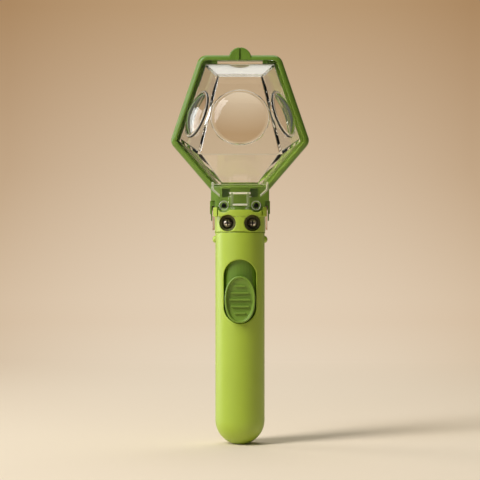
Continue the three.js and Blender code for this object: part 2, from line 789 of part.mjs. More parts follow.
// Wall that stands on a line of the outline and leans in over a depth
function leaningWall({ start, along }, lean, depth) {
  return plane(vector(along.y, -lean / depth, -along.x), vector(start.x, wallBack, start.y));
}

const chamberFloor = plane(vector(0, 0, -1), vector(0, 0, neckTop + runGap));
const chamberOpening = plane(vector(0, 1, 0), vector(0, wallBack, 0));
const frontFace = plane(
  vector(0, creaseZ - faceTopZ, faceTopY - creaseY),
  vector(0, creaseY, creaseZ),
);
const footFacet = plane(
  vector(0, neckTop + facetFootRise - creaseZ, creaseY - bibFront),
  vector(0, creaseY, creaseZ),
);
const topWall = plane(vector(0, -faceTopDrop, faceTopDepth), vector(0, wallBack, rimTop - wallInset));
const rightWall = leaningWall(sideEdge(wallInset), sideLean, creaseDepth);
const lowerRightWall = leaningWall(lowerEdge(wallInset), lowerLean, creaseDepth);
const mirroredPlane = ({ normal, constant }) => {
  return new THREE.Plane(vector(-normal.x, normal.y, normal.z), constant);
};

const chamberPlanes = [
  frontFace,
  footFacet,
  topWall,
  rightWall,
  lowerRightWall,
  mirroredPlane(rightWall),
  mirroredPlane(lowerRightWall),
  chamberFloor,
];

// Lens seats, each on the outer face of its wall
const middlePlane = plane(vector(1, 0, 0), vector(0, 0, 0));
const levelPlane = (height) => plane(vector(0, 0, 1), vector(0, 0, height));
const sideLevel = levelPlane(neckTop + sideLensAboveNeck);
const sideLensCentre = meetPlanes(rightWall, chamberOpening, sideLevel)
  .add(meetPlanes(rightWall, frontFace, sideLevel))
  .divideScalar(2);

const frontSeat = {
  centre: meetPlanes(frontFace, middlePlane, levelPlane(neckTop + frontLensAboveNeck)),
  normal: frontFace.normal.clone(),
  seatRadius: frontSeatRadius,
  holeRadius: frontHoleRadius,
  dome: frontDome,
  lip: frontLip,
};
const rightSeat = {
  centre: sideLensCentre,
  normal: rightWall.normal.clone(),
  seatRadius: sideSeatRadius,
  holeRadius: sideHoleRadius,
  dome: sideDome,
  lip: sideLip,
};
const leftSeat = {
  ...rightSeat,
  centre: sideLensCentre.clone().setX(-sideLensCentre.x),
  normal: mirroredPlane(rightWall).normal,
};

function seatCutter({ centre, normal, seatRadius, holeRadius }) {
  const along = (distance) => centre.clone().addScaledVector(normal, distance);
  return join(
    bar(along(overrun), along(-seatDepth), seatRadius, roundSteps),
    bar(along(overrun), along(-chamberWall - overrun), holeRadius, roundSteps),
  );
}

function chamberBib() {
  const top = neckTop + facetFootRise;
  const bottom = neckTop - bibDrop;
  const wing = neckTop - wingDrop;
  const right = [
    [bibHalfWidth, bottom, wingRound],
    [wingHalfWidth, wing, wingRound],
    [wingHalfWidth, top, wingRound],
  ];
  const left = right.map(([x, y, radius]) => [-x, y, radius]).reverse();
  return frontSlab(rounded([...right, ...left]), bibFront, bibBack);
}

function chamberTongue() {
  const foot = neckTop - tongueDrop;
  const head = neckTop - tongueHead;
  const proudY = [bibFront - tongueProud, bibFront + bibThickness / 2];
  const acrossX = [-tongueHalfWidth, tongueHalfWidth];
  const plate = block(acrossX, [bibFront, bibBack], [foot, neckTop - bibDrop + bibThickness]);
  const rib = block([tongueHalfWidth - tongueRib, tongueHalfWidth], proudY, [foot, head]);
  const topHalf = tongueHalfWidth + tongueFlare;
  const bars = [
    block([-topHalf, topHalf], proudY, [head - tongueBar, head]),
    block(acrossX, proudY, [foot, foot + tongueBar]),
    block(acrossX, proudY, [foot + tongueStep, foot + tongueStep + tongueBar]),
  ];
  return join(plate, both(rib), ...bars);
}

function chamberLug() {
  const x = lugSpacing / 2;
  const arm = block(
    [x - lugArmWidth / 2, x + lugArmWidth / 2],
    [bibFront, bibBack],
    [lugZ, neckTop - bibDrop + bibThickness],
  );
  const ring = barAlongY(x, lugZ, lugRadius, lugFront, bibBack);
  const well = barAlongY(x, lugZ, lugWellRadius, lugFront - overrun, lugSeat);
  const hole = barAlongY(x, lugZ, lugScrew.shank + runGap, bibFront - overrun, bibBack + overrun);
  return cut(arm.add(ring), well, hole);
}

function chamber() {
  const outer = polyhedron([...chamberPlanes, chamberOpening]);
  const innerPlanes = chamberPlanes.map(({ normal, constant }) => {
    return new THREE.Plane(normal, constant + chamberWall);
  });
  const inner = polyhedron([...innerPlanes, plane(vector(0, 1, 0), vector(0, wallBack + overrun, 0))]);
  const flangeOutline = headOutline(flangeInset, neckTop + runGap);
  const flange = frontSlab(flangeOutline, wallBack - flangeThickness, wallBack);
  const shell = cut(outer.add(flange), inner, ...[frontSeat, rightSeat, leftSeat].map(seatCutter));
  return join(shell, chamberBib(), chamberTongue(), both(chamberLug()));
}

// Domed lens with a flat lip, built with its outer side towards +Z
function lens({ seatRadius, holeRadius, dome, lip }) {
  const lipRadius = seatRadius - runGap;
  const plugRadius = holeRadius - runGap;
  const lipBack = -seatDepth + runGap;
  const lipFront = lipBack + lip;
  const outerRadius = (plugRadius ** 2 + dome ** 2) / (2 * dome);
  const outerHalf = Math.asin(plugRadius / outerRadius);
  const innerRadius = (plugRadius ** 2 + innerDome ** 2) / (2 * innerDome);
  const innerHalf = Math.asin(plugRadius / innerRadius);
  const up = Math.PI / 2;
  const innerMiddle = innerRadius - innerDome - chamberWall;
  const outerMiddle = lipFront + dome - outerRadius;
  return revolved([
    ...arc(0, innerMiddle, innerRadius, -up, -up + innerHalf, domeSteps),
    [plugRadius, lipBack],
    [lipRadius, lipBack],
    [lipRadius, lipFront],
    ...arc(0, outerMiddle, outerRadius, up - outerHalf, up, domeSteps),
  ]);
}

// Trap door
function trapDoor() {
  const plateFoot = meetLines(lowerEdge(doorInset), uprightLine(cheekOuter)).y;
  const plate = frontSlab(headOutline(doorInset, plateFoot), doorFront, doorBack);
  const apron = block([-cheekOuter, cheekOuter], [doorFront, doorBack], [hingeZ + doorFootRise, neckTop]);
  const beadInset = doorInset + doorBeadWidth;
  const beadY = [doorBack - doorThickness / 2, doorBack + doorBeadHeight];
  const bead = cut(
    frontSlab(headOutline(doorInset, plateFoot), ...beadY),
    frontSlab(headOutline(beadInset, plateFoot + doorBeadWidth), beadY[0] - overrun, beadY[1] + overrun),
  );
  const strap = block([cheekInner, cheekOuter], [doorFront, beadY[1]], [hingeZ, neckTop]);
  const tailHalf = cheekTailWidth / 2;
  const tail = sideSlab(
    rounded([
      [hingeY - tailHalf, hingeZ - cheekTailDrop, cheekTailRound],
      [hingeY + tailHalf, hingeZ - cheekTailDrop, cheekTailRound],
      [hingeY + tailHalf, hingeZ],
      [hingeY - tailHalf, hingeZ],
    ]),
    cheekInner,
    cheekOuter,
  );
  const cheek = join(barAlongX(hingeY, hingeZ, cheekRadius, cheekInner, cheekOuter), strap, tail);
  const bore = barAlongX(hingeY, hingeZ, shaftRadius + runGap, -cutReach - overrun, cutReach + overrun);
  return cut(join(plate, apron, bead, both(cheek)), bore);
}

// Hinge shaft, with two flats that carry the sector
function hingeShaft() {
  const end = earOuter - shaftInset;
  const flatX = [-rackWidth / 2 - runGap, rackWidth / 2 + runGap];
  const flatY = [hingeY - cheekRadius, hingeY + cheekRadius];
  const above = block(flatX, flatY, [hingeZ + shaftFlat, hingeZ + cheekRadius]);
  const below = block(flatX, flatY, [hingeZ - cheekRadius, hingeZ - shaftFlat]);
  return cut(barAlongX(hingeY, hingeZ, shaftRadius, -end, end), above, below);
}

// Half of the angle that a tooth fills at a radius
function toothHalfAngle(radius) {
  const involute = (angle) => Math.tan(angle) - angle;
  const atPitch = (toothPitch / 2 - 2 * flankGap) / (2 * pitchRadius);
  const here = Math.acos(Math.min(baseRadius / radius, 1));
  return atPitch + involute(pressureAngle) - involute(here);
}

// Sector that meshes with the rack: its middle tooth points straight at the rack at rest
function doorSector() {
  const rootRadius = pitchRadius - toothDedendum;
  const tipRadius = pitchRadius + toothAddendum;
  const at = (radius, angle) => [hingeY - radius * Math.cos(angle), hingeZ - radius * Math.sin(angle)];
  const step = (2 * Math.PI) / gearTeeth;
  const flankStep = (tipRadius - baseRadius) / flankSteps;
  const radii = [rootRadius, baseRadius];
  for (let k = 1; k <= flankSteps; k++) radii.push(baseRadius + k * flankStep);
  const outline = [at(0, 0), at(rootRadius, -(teethAbove + 1 / 2) * step)];
  for (let tooth = -teethAbove; tooth <= teethBelow; tooth++) {
    const middle = tooth * step;
    radii.forEach((radius) => outline.push(at(radius, middle - toothHalfAngle(radius))));
    radii.toReversed().forEach((radius) => outline.push(at(radius, middle + toothHalfAngle(radius))));
  }
  outline.push(at(rootRadius, (teethBelow + 1 / 2) * step));
  const half = rackWidth / 2;
  const body = sideSlab(outline, -half, half).add(barAlongX(hingeY, hingeZ, gearHubRadius, -half, half));
  const flats = block(
    [-half - overrun, half + overrun],
    [hingeY - cheekRadius, hingeY + cheekRadius],
    [hingeZ - shaftFlat - runGap, hingeZ + shaftFlat + runGap],
  );
  const bore = barAlongX(hingeY, hingeZ, shaftRadius + runGap, -half - overrun, half + overrun);
  return cut(body, bore.intersect(flats));
}

// Rack bar, with a notch for the click spring at each end of the travel
function rackBar() {
  const rootHalf = toothPitch / 4 - flankGap + toothDedendum * Math.tan(pressureAngle);
  const tipHalf = toothPitch / 4 - flankGap - toothAddendum * Math.tan(pressureAngle);
  const toothTip = rackPitchY + toothAddendum;
  const notchZ = springFoot + springBumpRise;
  const outline = [
    [rackFront, rackFoot],
    [rackBack, rackFoot],
  ];
  for (const z of [notchZ - slideTravel, notchZ]) {
    outline.push([rackBack, z - notchHalf], [rackBack - notchDepth, z], [rackBack, z + notchHalf]);
  }
  for (let tooth = rackTeeth - 1; tooth >= 0; tooth--) {
    const middle = hingeZ + (1 / 2 - tooth) * toothPitch;
    outline.push([rackBack, middle - rootHalf], [toothTip, middle - tipHalf]);
    outline.push([toothTip, middle + tipHalf], [rackBack, middle + rootHalf]);
  }
  outline.push([rackBack, rackTop], [rackFront, rackTop]);
  const screwZ = rackFoot + rackScrewRise;
  const headSpace = barAlongY(0, screwZ, smallHeadRadius + runGap, rackBack - smallHeadHeight - runGap, 0);
  const shankHole = barAlongY(0, screwZ, smallShankRadius + runGap, rackFront - overrun, 0);
  return cut(sideSlab(outline, -rackWidth / 2, rackWidth / 2), headSpace, shankHole);
}

// Slide
function slideCarriage() {
  const down = -Math.PI / 2;
  const [from, to] = [down - carriageHalfAngle, down + carriageHalfAngle];
  const section = [
    ...arc(0, 0, carriageRadius, from, to, 3 * cornerSteps),
    ...arc(0, 0, carriageInner, to, from, 3 * cornerSteps),
  ];
  const plate = planSlab(section, carriageBottom, carriageTop);
  const shelfZ = rackFoot - runGap - bracketShelf;
  const bracketY = [-carriageRadius + carriageWall / 2, rackFront + bracketCheek];
  const bracket = block([-bracketHalfWidth, bracketHalfWidth], bracketY, [shelfZ, carriageTop]);
  const channel = block(
    [-rackWidth / 2 - runGap, rackWidth / 2 + runGap],
    [rackFront - runGap, 0],
    [rackFoot - runGap, carriageTop + overrun],
  );
  const padScrewZ = padCentre - padScrewDrop;
  const rackPilotEnd = rackFront - rackScrewReach - runGap;
  const screwHoles = [
    barAlongY(0, padScrewZ, smallShankRadius + runGap, -cutReach, 0),
    barAlongY(0, rackFoot + rackScrewRise, smallShankRadius + runGap, rackPilotEnd, 0),
  ];
  return cut(plate.add(cut(bracket, channel)), ...screwHoles);
}

// Oval dished pad: rings from its back, over the rolled rim, into the dish
function thumbPad() {
  const steps = 2 * smallSteps;
  const ring = (inset, y) =>
    Array.from({ length: steps }, (_, k) => {
      const angle = (2 * Math.PI * k) / steps;
      const x = (padWidth / 2 - inset) * Math.cos(angle);
      return vector(x, y, padCentre + (padLength / 2 - inset) * Math.sin(angle));
    });
  const floor = padFront + padDish;
  const skin = loft([
    ring(0, -ledgeBackDepth),
    ring(0, padFront + padRimDepth),
    ring(padRimRound, padFront + padRimRound / 2),
    ring(padRimWidth / 2, padFront),
    ring(padRimWidth - padRimRound, padFront + padRimRound / 2),
    ring(padRimWidth, padFront + padRimDepth),
    ring(padRimWidth + padRimRound, floor - padRimRound),
    ring(padRimWidth + padDishRun, floor),
  ]);
  const middleRib = (padRibLengthShares.length - 1) / 2;
  const ribs = padRibLengthShares.map((share, k) => {
    const z = padCentre + (middleRib - k) * padRibPitch;
    const half = (share * padWidth) / 2;
    const ribZ = [z - padRibWidth / 2, z + padRibWidth / 2];
    return block([-half, half], [floor - padRibProud, floor + padRibProud], ribZ);
  });
  const carriageSpace = barAlongZ(carriageRadius + runGap, 0, gripTop, roundSteps);
  const pilot = barAlongY(0, padCentre - padScrewDrop, smallShankRadius + runGap, floor + padSkin, 0);
  return cut(join(skin, ...ribs), carriageSpace, pilot);
}

// Click spring: a bent strip whose bump faces the rack's notches
function clickSpring() {
  const faces = springFace + springThickness;
  const bumpZ = springFoot + springBumpRise;
  const bumpY = rackBack + runGap;
  const top = springFoot + springRise;
  const outline = [
    [faces + springFootDepth, springFoot],
    [faces + springFootDepth, springFoot + springThickness],
    [faces, springFoot + springThickness],
    [faces, bumpZ - springBumpHalf],
    [bumpY + springThickness, bumpZ],
    [faces, bumpZ + springBumpHalf],
    [faces, top],
    [springFace, top],
    [springFace, bumpZ + springBumpHalf],
    [bumpY, bumpZ],
    [springFace, bumpZ - springBumpHalf],
    [springFace, springFoot],
  ];
  return sideSlab(outline, -springWidth / 2, springWidth / 2);
}

// Screw with its head towards +Z and the underside of the head at 0
function screw({ headRadius, headHeight, shank, length, drive }) {
  const crown = headHeight * crownShare;
  const body = revolved(
    [
      [0, -length],
      [shank / 2, -length],
      [shank, -length + shank],
      [shank, 0],
      [headRadius, 0],
      [headRadius, headHeight - crown],
      [headRadius - crown, headHeight],
      [0, headHeight],
    ],
    smallSteps,
  );
  if (drive === 'socket') {
    const [floor, mouth] = [headHeight - socketDepth, headHeight + overrun];
    return cut(body, barAlongZ(socketRadius, floor, mouth, socketSides));
  }
  const arm = headRadius * crossReachShare;
  const half = (headRadius * crossWidthShare) / 2;
  const recess = [headHeight * (1 - crossDepthShare), headHeight + overrun];
  return cut(body, block([-arm, arm], [-half, half], recess), block([-half, half], [-arm, arm], recess));
}

// Side pin with a domed head towards +Z and the underside of the head at 0
function sidePin() {
  const domeRadius = (pinHeadRadius ** 2 + pinHeadHeight ** 2) / (2 * pinHeadHeight);
  const edge = Math.asin(Math.min((pinHeadHeight - domeRadius) / domeRadius, 1));
  const dome = arc(0, pinHeadHeight - domeRadius, domeRadius, -edge, Math.PI / 2, domeSteps);
  const shankEnd = -(pinSeatX + runGap - pinShankReach);
  return revolved([[0, shankEnd], [pinShankRadius, shankEnd], [pinShankRadius, 0], ...dome], smallSteps);
}

// Scene
const bugCatcher = new THREE.Group();
const slide = new THREE.Group();
const door = new THREE.Group();
bugCatcher.add(slide, door);

function place(parent, name, solid, finish, position = vector(0, 0, 0), facing = vector(0, 0, 1)) {
  const mesh = new THREE.Mesh(geometryFrom(solid), new THREE.MeshStandardMaterial(finish));
  mesh.name = name;
  mesh.position.copy(position);
  mesh.quaternion.setFromUnitVectors(vector(0, 0, 1), facing);
  parent.add(mesh);
}

const front = vector(0, -1, 0);
const back = vector(0, 1, 0);

place(bugCatcher, 'grip_front_shell', gripFrontShell(), lime);
place(bugCatcher, 'grip_back_shell', gripBackShell(), lime);
place(bugCatcher, 'collar', collar(), lime);
place(bugCatcher, 'head_frame', headFrame(), leafGreen);
place(bugCatcher, 'chamber', chamber(), clearAcrylic);
place(bugCatcher, 'front_lens', lens(frontSeat), clearAcrylic, frontSeat.centre, frontSeat.normal);
place(bugCatcher, 'right_lens', lens(rightSeat), clearAcrylic, rightSeat.centre, rightSeat.normal);
place(bugCatcher, 'left_lens', lens(leftSeat), clearAcrylic, leftSeat.centre, leftSeat.normal);

for (const [side, name] of [[-1, 'left'], [1, 'right']]) {
  const wellBottom = wellFloor + innerWellDepth - runGap;
  const collarScrewAt = vector((side * wellSpacing) / 2, wellBottom, wellZ);
  const lugScrewAt = vector((side * lugSpacing) / 2, lugSeat - runGap, lugZ);
  const pinAt = vector(side * (pinSeatX + runGap), 0, pinZ);
  place(bugCatcher, `collar_screw_${name}`, screw(collarScrew), brightSteel, collarScrewAt, front);
  place(bugCatcher, `lug_screw_${name}`, screw(lugScrew), blackSteel, lugScrewAt, front);
  place(bugCatcher, `side_pin_${name}`, sidePin(), lime, pinAt, vector(side, 0, 0));
}

gripScrewZs.forEach((z, k) => {
  const name = ['lower', 'upper'][k];
  const gripScrewAt = vector(0, gripHeadSeat + runGap, z);
  place(bugCatcher, `grip_screw_${name}`, screw(gripScrew), brightSteel, gripScrewAt, back);
});
place(bugCatcher, 'click_spring', clickSpring(), brightSteel);

place(slide, 'thumb_pad', thumbPad(), padGreen);
place(slide, 'slide_carriage', slideCarriage(), leafGreen);
place(slide, 'rack_bar', rackBar(), leafGreen);
const padHeadY = -carriageInner + padHeadGap;
const padScrewLength = padHeadY - (padFront + padDish + padSkin) - runGap;
const padScrewAt = vector(0, padHeadY, padCentre - padScrewDrop);
const padScrew = { ...smallHead, length: padScrewLength };
place(slide, 'pad_screw', screw(padScrew), brightSteel, padScrewAt, back);
const rackScrewAt = vector(0, rackBack - smallHeadHeight, rackFoot + rackScrewRise);
const rackScrewLength = rackScrewAt.y - (rackFront - rackScrewReach);
const rackScrew = { ...smallHead, length: rackScrewLength };
place(slide, 'rack_screw', screw(rackScrew), brightSteel, rackScrewAt, back);

place(door, 'trap_door', trapDoor(), clearAcrylic);
place(door, 'hinge_shaft', hingeShaft(), brightSteel);
place(door, 'door_sector', doorSector(), leafGreen);

export default bugCatcher;
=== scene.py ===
# Bug catcher: clear faceted viewing chamber with three magnifying lenses on a lime grip.
# Lengths are in millimetres until a mesh is made, and every mesh is in the frame's metres.
import math

import bmesh
import bpy
from mathutils import Matrix, Vector
from mathutils.geometry import points_in_planes


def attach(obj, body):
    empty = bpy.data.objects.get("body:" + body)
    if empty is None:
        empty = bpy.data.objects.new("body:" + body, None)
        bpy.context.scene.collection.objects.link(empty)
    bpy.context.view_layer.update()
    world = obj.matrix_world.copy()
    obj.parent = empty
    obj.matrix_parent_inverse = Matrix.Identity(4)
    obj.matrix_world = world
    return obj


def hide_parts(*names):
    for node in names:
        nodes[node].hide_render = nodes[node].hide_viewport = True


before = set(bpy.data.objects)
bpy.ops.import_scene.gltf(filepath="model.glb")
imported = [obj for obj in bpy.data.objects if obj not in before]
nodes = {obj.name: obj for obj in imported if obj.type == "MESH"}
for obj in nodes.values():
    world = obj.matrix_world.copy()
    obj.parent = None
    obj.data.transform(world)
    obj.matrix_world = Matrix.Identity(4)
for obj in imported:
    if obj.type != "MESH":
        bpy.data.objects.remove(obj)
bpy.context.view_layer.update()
mm = 0.001
print("frame loaded:", len(nodes), "nodes")


# mesh tools

def newObject(name, data):
    made = bpy.data.objects.new(name, data)
    bpy.context.scene.collection.objects.link(made)
    return made


def newPiece(name, points, faces):
    mesh = bpy.data.meshes.new(name)
    mesh.from_pydata([Vector(p) * mm for p in points], [], faces)
    work = bmesh.new()
    work.from_mesh(mesh)
    bmesh.ops.remove_doubles(work, verts=work.verts, dist=1e-7)
    bmesh.ops.recalc_face_normals(work, faces=work.faces)
    work.to_mesh(mesh)
    work.free()
    return newObject(name, mesh)


def soften(piece, width, segments=3, angle=40, where=None, finish=-1):
    # rounds the edges that turn by more than the angle, all of them or those at the places wanted
    work = bmesh.new()
    work.from_mesh(piece.data)
    edges = [
        edge for edge in work.edges
        if len(edge.link_faces) == 2
        and edge.calc_face_angle(0) > math.radians(angle)
        and (where is None or where((edge.verts[0].co + edge.verts[1].co) / (2 * mm)))
    ]
    bmesh.ops.bevel(work, geom=edges, offset=width * mm, segments=segments, profile=0.5,
                    affect="EDGES", clamp_overlap=where is None, material=finish)
    work.to_mesh(piece.data)
    work.free()
    return piece


def prism(name, outline, axis, low, high, soft=0, segments=3):
    # outline of (y, z), (x, z) or (x, y) points, drawn out along x, y or z
    place = {"x": lambda a, b, t: (t, a, b), "y": lambda a, b, t: (a, t, b), "z": lambda a, b, t: (a, b, t)}[axis]
    count = len(outline)
    points = [place(a, b, t) for t in (low, high) for a, b in outline]
    faces = [list(range(count)), list(range(count, 2 * count))]
    faces += [[k, (k + 1) % count, count + (k + 1) % count, count + k] for k in range(count)]
    piece = newPiece(name, points, faces)
    return soften(piece, soft, segments) if soft else piece


def box(name, x, y, z, soft=0, segments=3):
    outline = [(x[0], z[0]), (x[1], z[0]), (x[1], z[1]), (x[0], z[1])]
    return prism(name, outline, "y", y[0], y[1], soft, segments)


def span(half):
    return -half, half


def revolve(name, profile, steps=96, ring=False):
    # (radius, height) points turned about z, from axis to axis or round a closed ring
    count = len(profile)
    points = []
    for k in range(steps):
        turn = 2 * math.pi * k / steps
        points += [(r * math.cos(turn), r * math.sin(turn), z) for r, z in profile]
    faces = []
    for k in range(steps):
        here, there = k * count, ((k + 1) % steps) * count
        for i in range(count if ring else count - 1):
            j = (i + 1) % count
            faces.append([here + i, there + i, there + j, here + j])
    return newPiece(name, points, faces)


def loft(name, rings, closed=False):
    # closed rings of equal count, skinned one to the next, with a flat end at each side or round to the first
    count, rows = len(rings[0]), len(rings)
    faces = [] if closed else [list(range(count)), list(range((rows - 1) * count, rows * count))]
    for r in range(rows if closed else rows - 1):
        here, there = r * count, (r + 1) % rows * count
        for k in range(count):
            j = (k + 1) % count
            faces.append([here + k, here + j, there + j, there + k])
    return newPiece(name, [point for ring in rings for point in ring], faces)


def rod(name, radius, low, high, axis="z", at=(0, 0), steps=64, soft=0):
    chamfer = [(radius, low), (radius, high)]
    if soft:
        chamfer = arc(radius - soft, low + soft, soft, -90, 0, 4) + arc(radius - soft, high - soft, soft, 0, 90, 4)
    piece = revolve(name, [(0, low), *chamfer, (0, high)], steps)
    turn = {
        "z": Matrix.Identity(4),
        "x": Matrix.Rotation(math.pi / 2, 4, "Y"),
        "y": Matrix.Rotation(-math.pi / 2, 4, "X"),
    }[axis]
    shift = {"z": (at[0], at[1], 0), "x": (0, at[0], at[1]), "y": (at[0], 0, at[1])}[axis]
    piece.data.transform(Matrix.Translation(Vector(shift) * mm) @ turn)
    return piece


def aim(piece, place, normal):
    # a piece built with its outer side to +z goes to its place and faces along the normal
    turn = Vector(normal).to_track_quat("Z", "Y").to_matrix().to_4x4()
    piece.data.transform(Matrix.Translation(Vector(place) * mm) @ turn)
    return piece


def mirrorCopy(piece, name):
    mesh = piece.data.copy()
    work = bmesh.new()
    work.from_mesh(mesh)
    bmesh.ops.scale(work, vec=(-1, 1, 1), verts=work.verts)
    bmesh.ops.recalc_face_normals(work, faces=work.faces)
    work.to_mesh(mesh)
    work.free()
    return newObject(name, mesh)


def pair(piece):
    return [piece, mirrorCopy(piece, piece.name + "Twin")]


def settle(piece):
    # makes the modifiers' result the piece's own mesh
    bpy.context.view_layer.update()
    graph = bpy.context.evaluated_depsgraph_get()
    made = bpy.data.meshes.new_from_object(piece.evaluated_get(graph))
    piece.modifiers.clear()
    piece.data = made


def combine(piece, tools, operation):
    for tool in tools:
        step = piece.modifiers.new("step", "BOOLEAN")
        step.operation = operation
        step.solver = "MANIFOLD"
        step.object = tool
    settle(piece)
    for tool in tools:
        bpy.data.objects.remove(tool)
    return piece


def join(piece, *tools):
    return combine(piece, tools, "UNION")


def cut(piece, *tools):
    return combine(piece, tools, "DIFFERENCE")


def keep(piece, *tools):
    return combine(piece, tools, "INTERSECT")


def dropSpecks(piece, least=12):
    # takes out the closed specks that a cut leaves where two faces almost meet
    work = bmesh.new()
    work.from_mesh(piece.data)
    pending = set(work.verts)
    while pending:
        shell, reached = set(), [pending.pop()]
        while reached:
            corner = reached.pop()
            shell.add(corner)
            near = {edge.other_vert(corner) for edge in corner.link_edges} & pending
            pending -= near
            reached += near
        if len(shell) < least:
            bmesh.ops.delete(work, geom=list(shell), context="VERTS")
    work.to_mesh(piece.data)
    work.free()
    return piece


def arc(x, y, radius, start, end, steps):
    angles = [math.radians(start + (end - start) * k / steps) for k in range(steps + 1)]
    return [(x + radius * math.cos(a), y + radius * math.sin(a)) for a in angles]


def roundCorners(corners, steps=8):
    outline = []
    for i, (x, y, radius) in enumerate(corners):
        here = Vector((x, y))
        if radius <= 0:
            outline.append((x, y))
            continue
        before = (Vector(corners[i - 1][:2]) - here).normalized()
        after = (Vector(corners[(i + 1) % len(corners)][:2]) - here).normalized()
        half = before.angle(after) / 2
        centre = here + (before + after).normalized() * (radius / math.sin(half))
        first = here + before * (radius / math.tan(half)) - centre
        last = here + after * (radius / math.tan(half)) - centre
        start = math.atan2(first.y, first.x)
        sweep = math.atan2(first.x * last.y - first.y * last.x, first.dot(last))
        outline += arc(centre.x, centre.y, radius, math.degrees(start), math.degrees(start + sweep), steps)
    return outline


# the head's six-sided outline, shared by rim, chamber and door

head = {
    "waist": Vector((18.9, 164.8)), "elbow": Vector((45.65, 195.9)), "shoulder": Vector((26.25, 252.65)),
    "elbowRound": 6, "shoulderRound": 6.6, "neckTop": 167,
}
collarWell, chamberLug = (8, 143.2), (10.4, 154.5)  # x and z of the right-hand screws, which several pieces share


def insetLine(start, end, distance):
    along = (end - start).normalized()
    return start + Vector((-along.y, along.x)) * distance, along


def crossing(first, second):
    between = second[0] - first[0]
    spread = first[1].x * second[1].y - first[1].y * second[1].x
    return first[0] + first[1] * ((between.x * second[1].y - between.y * second[1].x) / spread)


def headOutline(inset, floor):
    lower = insetLine(head["waist"], head["elbow"], inset)
    side = insetLine(head["elbow"], head["shoulder"], inset)
    level = lambda height: (Vector((0, height)), Vector((1, 0)))
    foot = crossing(lower, level(floor))
    bend = crossing(lower, side)
    top = crossing(side, level(head["shoulder"].y - inset))
    right = [
        (foot.x, foot.y, 0),
        (bend.x, bend.y, head["elbowRound"] - inset),
        (top.x, top.y, head["shoulderRound"] - inset),
    ]
    return roundCorners(right + [(-x, z, r) for x, z, r in reversed(right)])


# materials

def toLinear(code):
    parts = [int(code[k:k + 2], 16) / 255 for k in (1, 3, 5)]
    return [c / 12.92 if c <= 0.04045 else ((c + 0.055) / 1.055) ** 2.4 for c in parts] + [1]


def addNode(tree, kind, settings=None, links=None):
    node = tree.nodes.new(kind)
    for key, value in (settings or {}).items():
        if isinstance(key, int) or key in node.inputs:
            node.inputs[key].default_value = value
        else:
            setattr(node, key, value)
    for key, source in (links or {}).items():
        tree.links.new(source, node.inputs[key])
    return node


def newMaterial(name):
    material = bpy.data.materials.new(name)
    material.use_nodes = True
    material.node_tree.nodes.clear()
    return material, material.node_tree


def unevenSkin(tree, look, tonePattern, finePattern, deepMm):
    # colour between two tones, with roughness and relief from a finer pattern
    tone = addNode(tree, "ShaderNodeMix", {"data_type": "RGBA", 6: toLinear(look["shade"]), 7: toLinear(look["light"])},
                   {0: tonePattern.outputs["Fac"]})
    rough = addNode(tree, "ShaderNodeMapRange", {"To Min": look["roughness"][0], "To Max": look["roughness"][1]},
                    {"Value": finePattern.outputs["Fac"]})
    bump = addNode(tree, "ShaderNodeBump", {"Strength": look["bump"], "Distance": deepMm * mm},
                   {"Height": finePattern.outputs["Fac"]})
    return {"Base Color": tone.outputs[2], "Roughness": rough.outputs["Result"], "Normal": bump.outputs["Normal"]}


moulded = {"ior": 1.53, "glowMm": 1.5, "grainDeepMm": 0.05, "coatRoughness": 0.5}


def mouldedPlastic(name, look):
    # injection-moulded ABS: even colour with a slow drift, satin from the spark-eroded mould
    material, tree = newMaterial(name)
    place = addNode(tree, "ShaderNodeTexCoord").outputs["Object"]
    drift = addNode(tree, "ShaderNodeTexNoise", {"Scale": 1 / (look["driftMm"] * mm), "Detail": 2}, {"Vector": place})
    grain = addNode(tree, "ShaderNodeTexNoise", {"Scale": 1 / (look["grainMm"] * mm), "Detail": 3}, {"Vector": place})
    shader = addNode(tree, "ShaderNodeBsdfPrincipled",
                     {"IOR": moulded["ior"], "Subsurface Weight": look["depth"],
                      "Subsurface Scale": moulded["glowMm"] * mm, "Subsurface Radius": (1, 1, 0.4),
                      "Coat Weight": look["coat"], "Coat Roughness": moulded["coatRoughness"]},
                     unevenSkin(tree, look, drift, grain, moulded["grainDeepMm"]))
    addNode(tree, "ShaderNodeOutputMaterial", None, {"Surface": shader.outputs["BSDF"]})
    return material


acrylic = {"ior": 1.49, "flowDeepMm": 0.2, "veil": "#f4f1ea", "through": 0.3, "tabReflectionUpMm": 2.5}


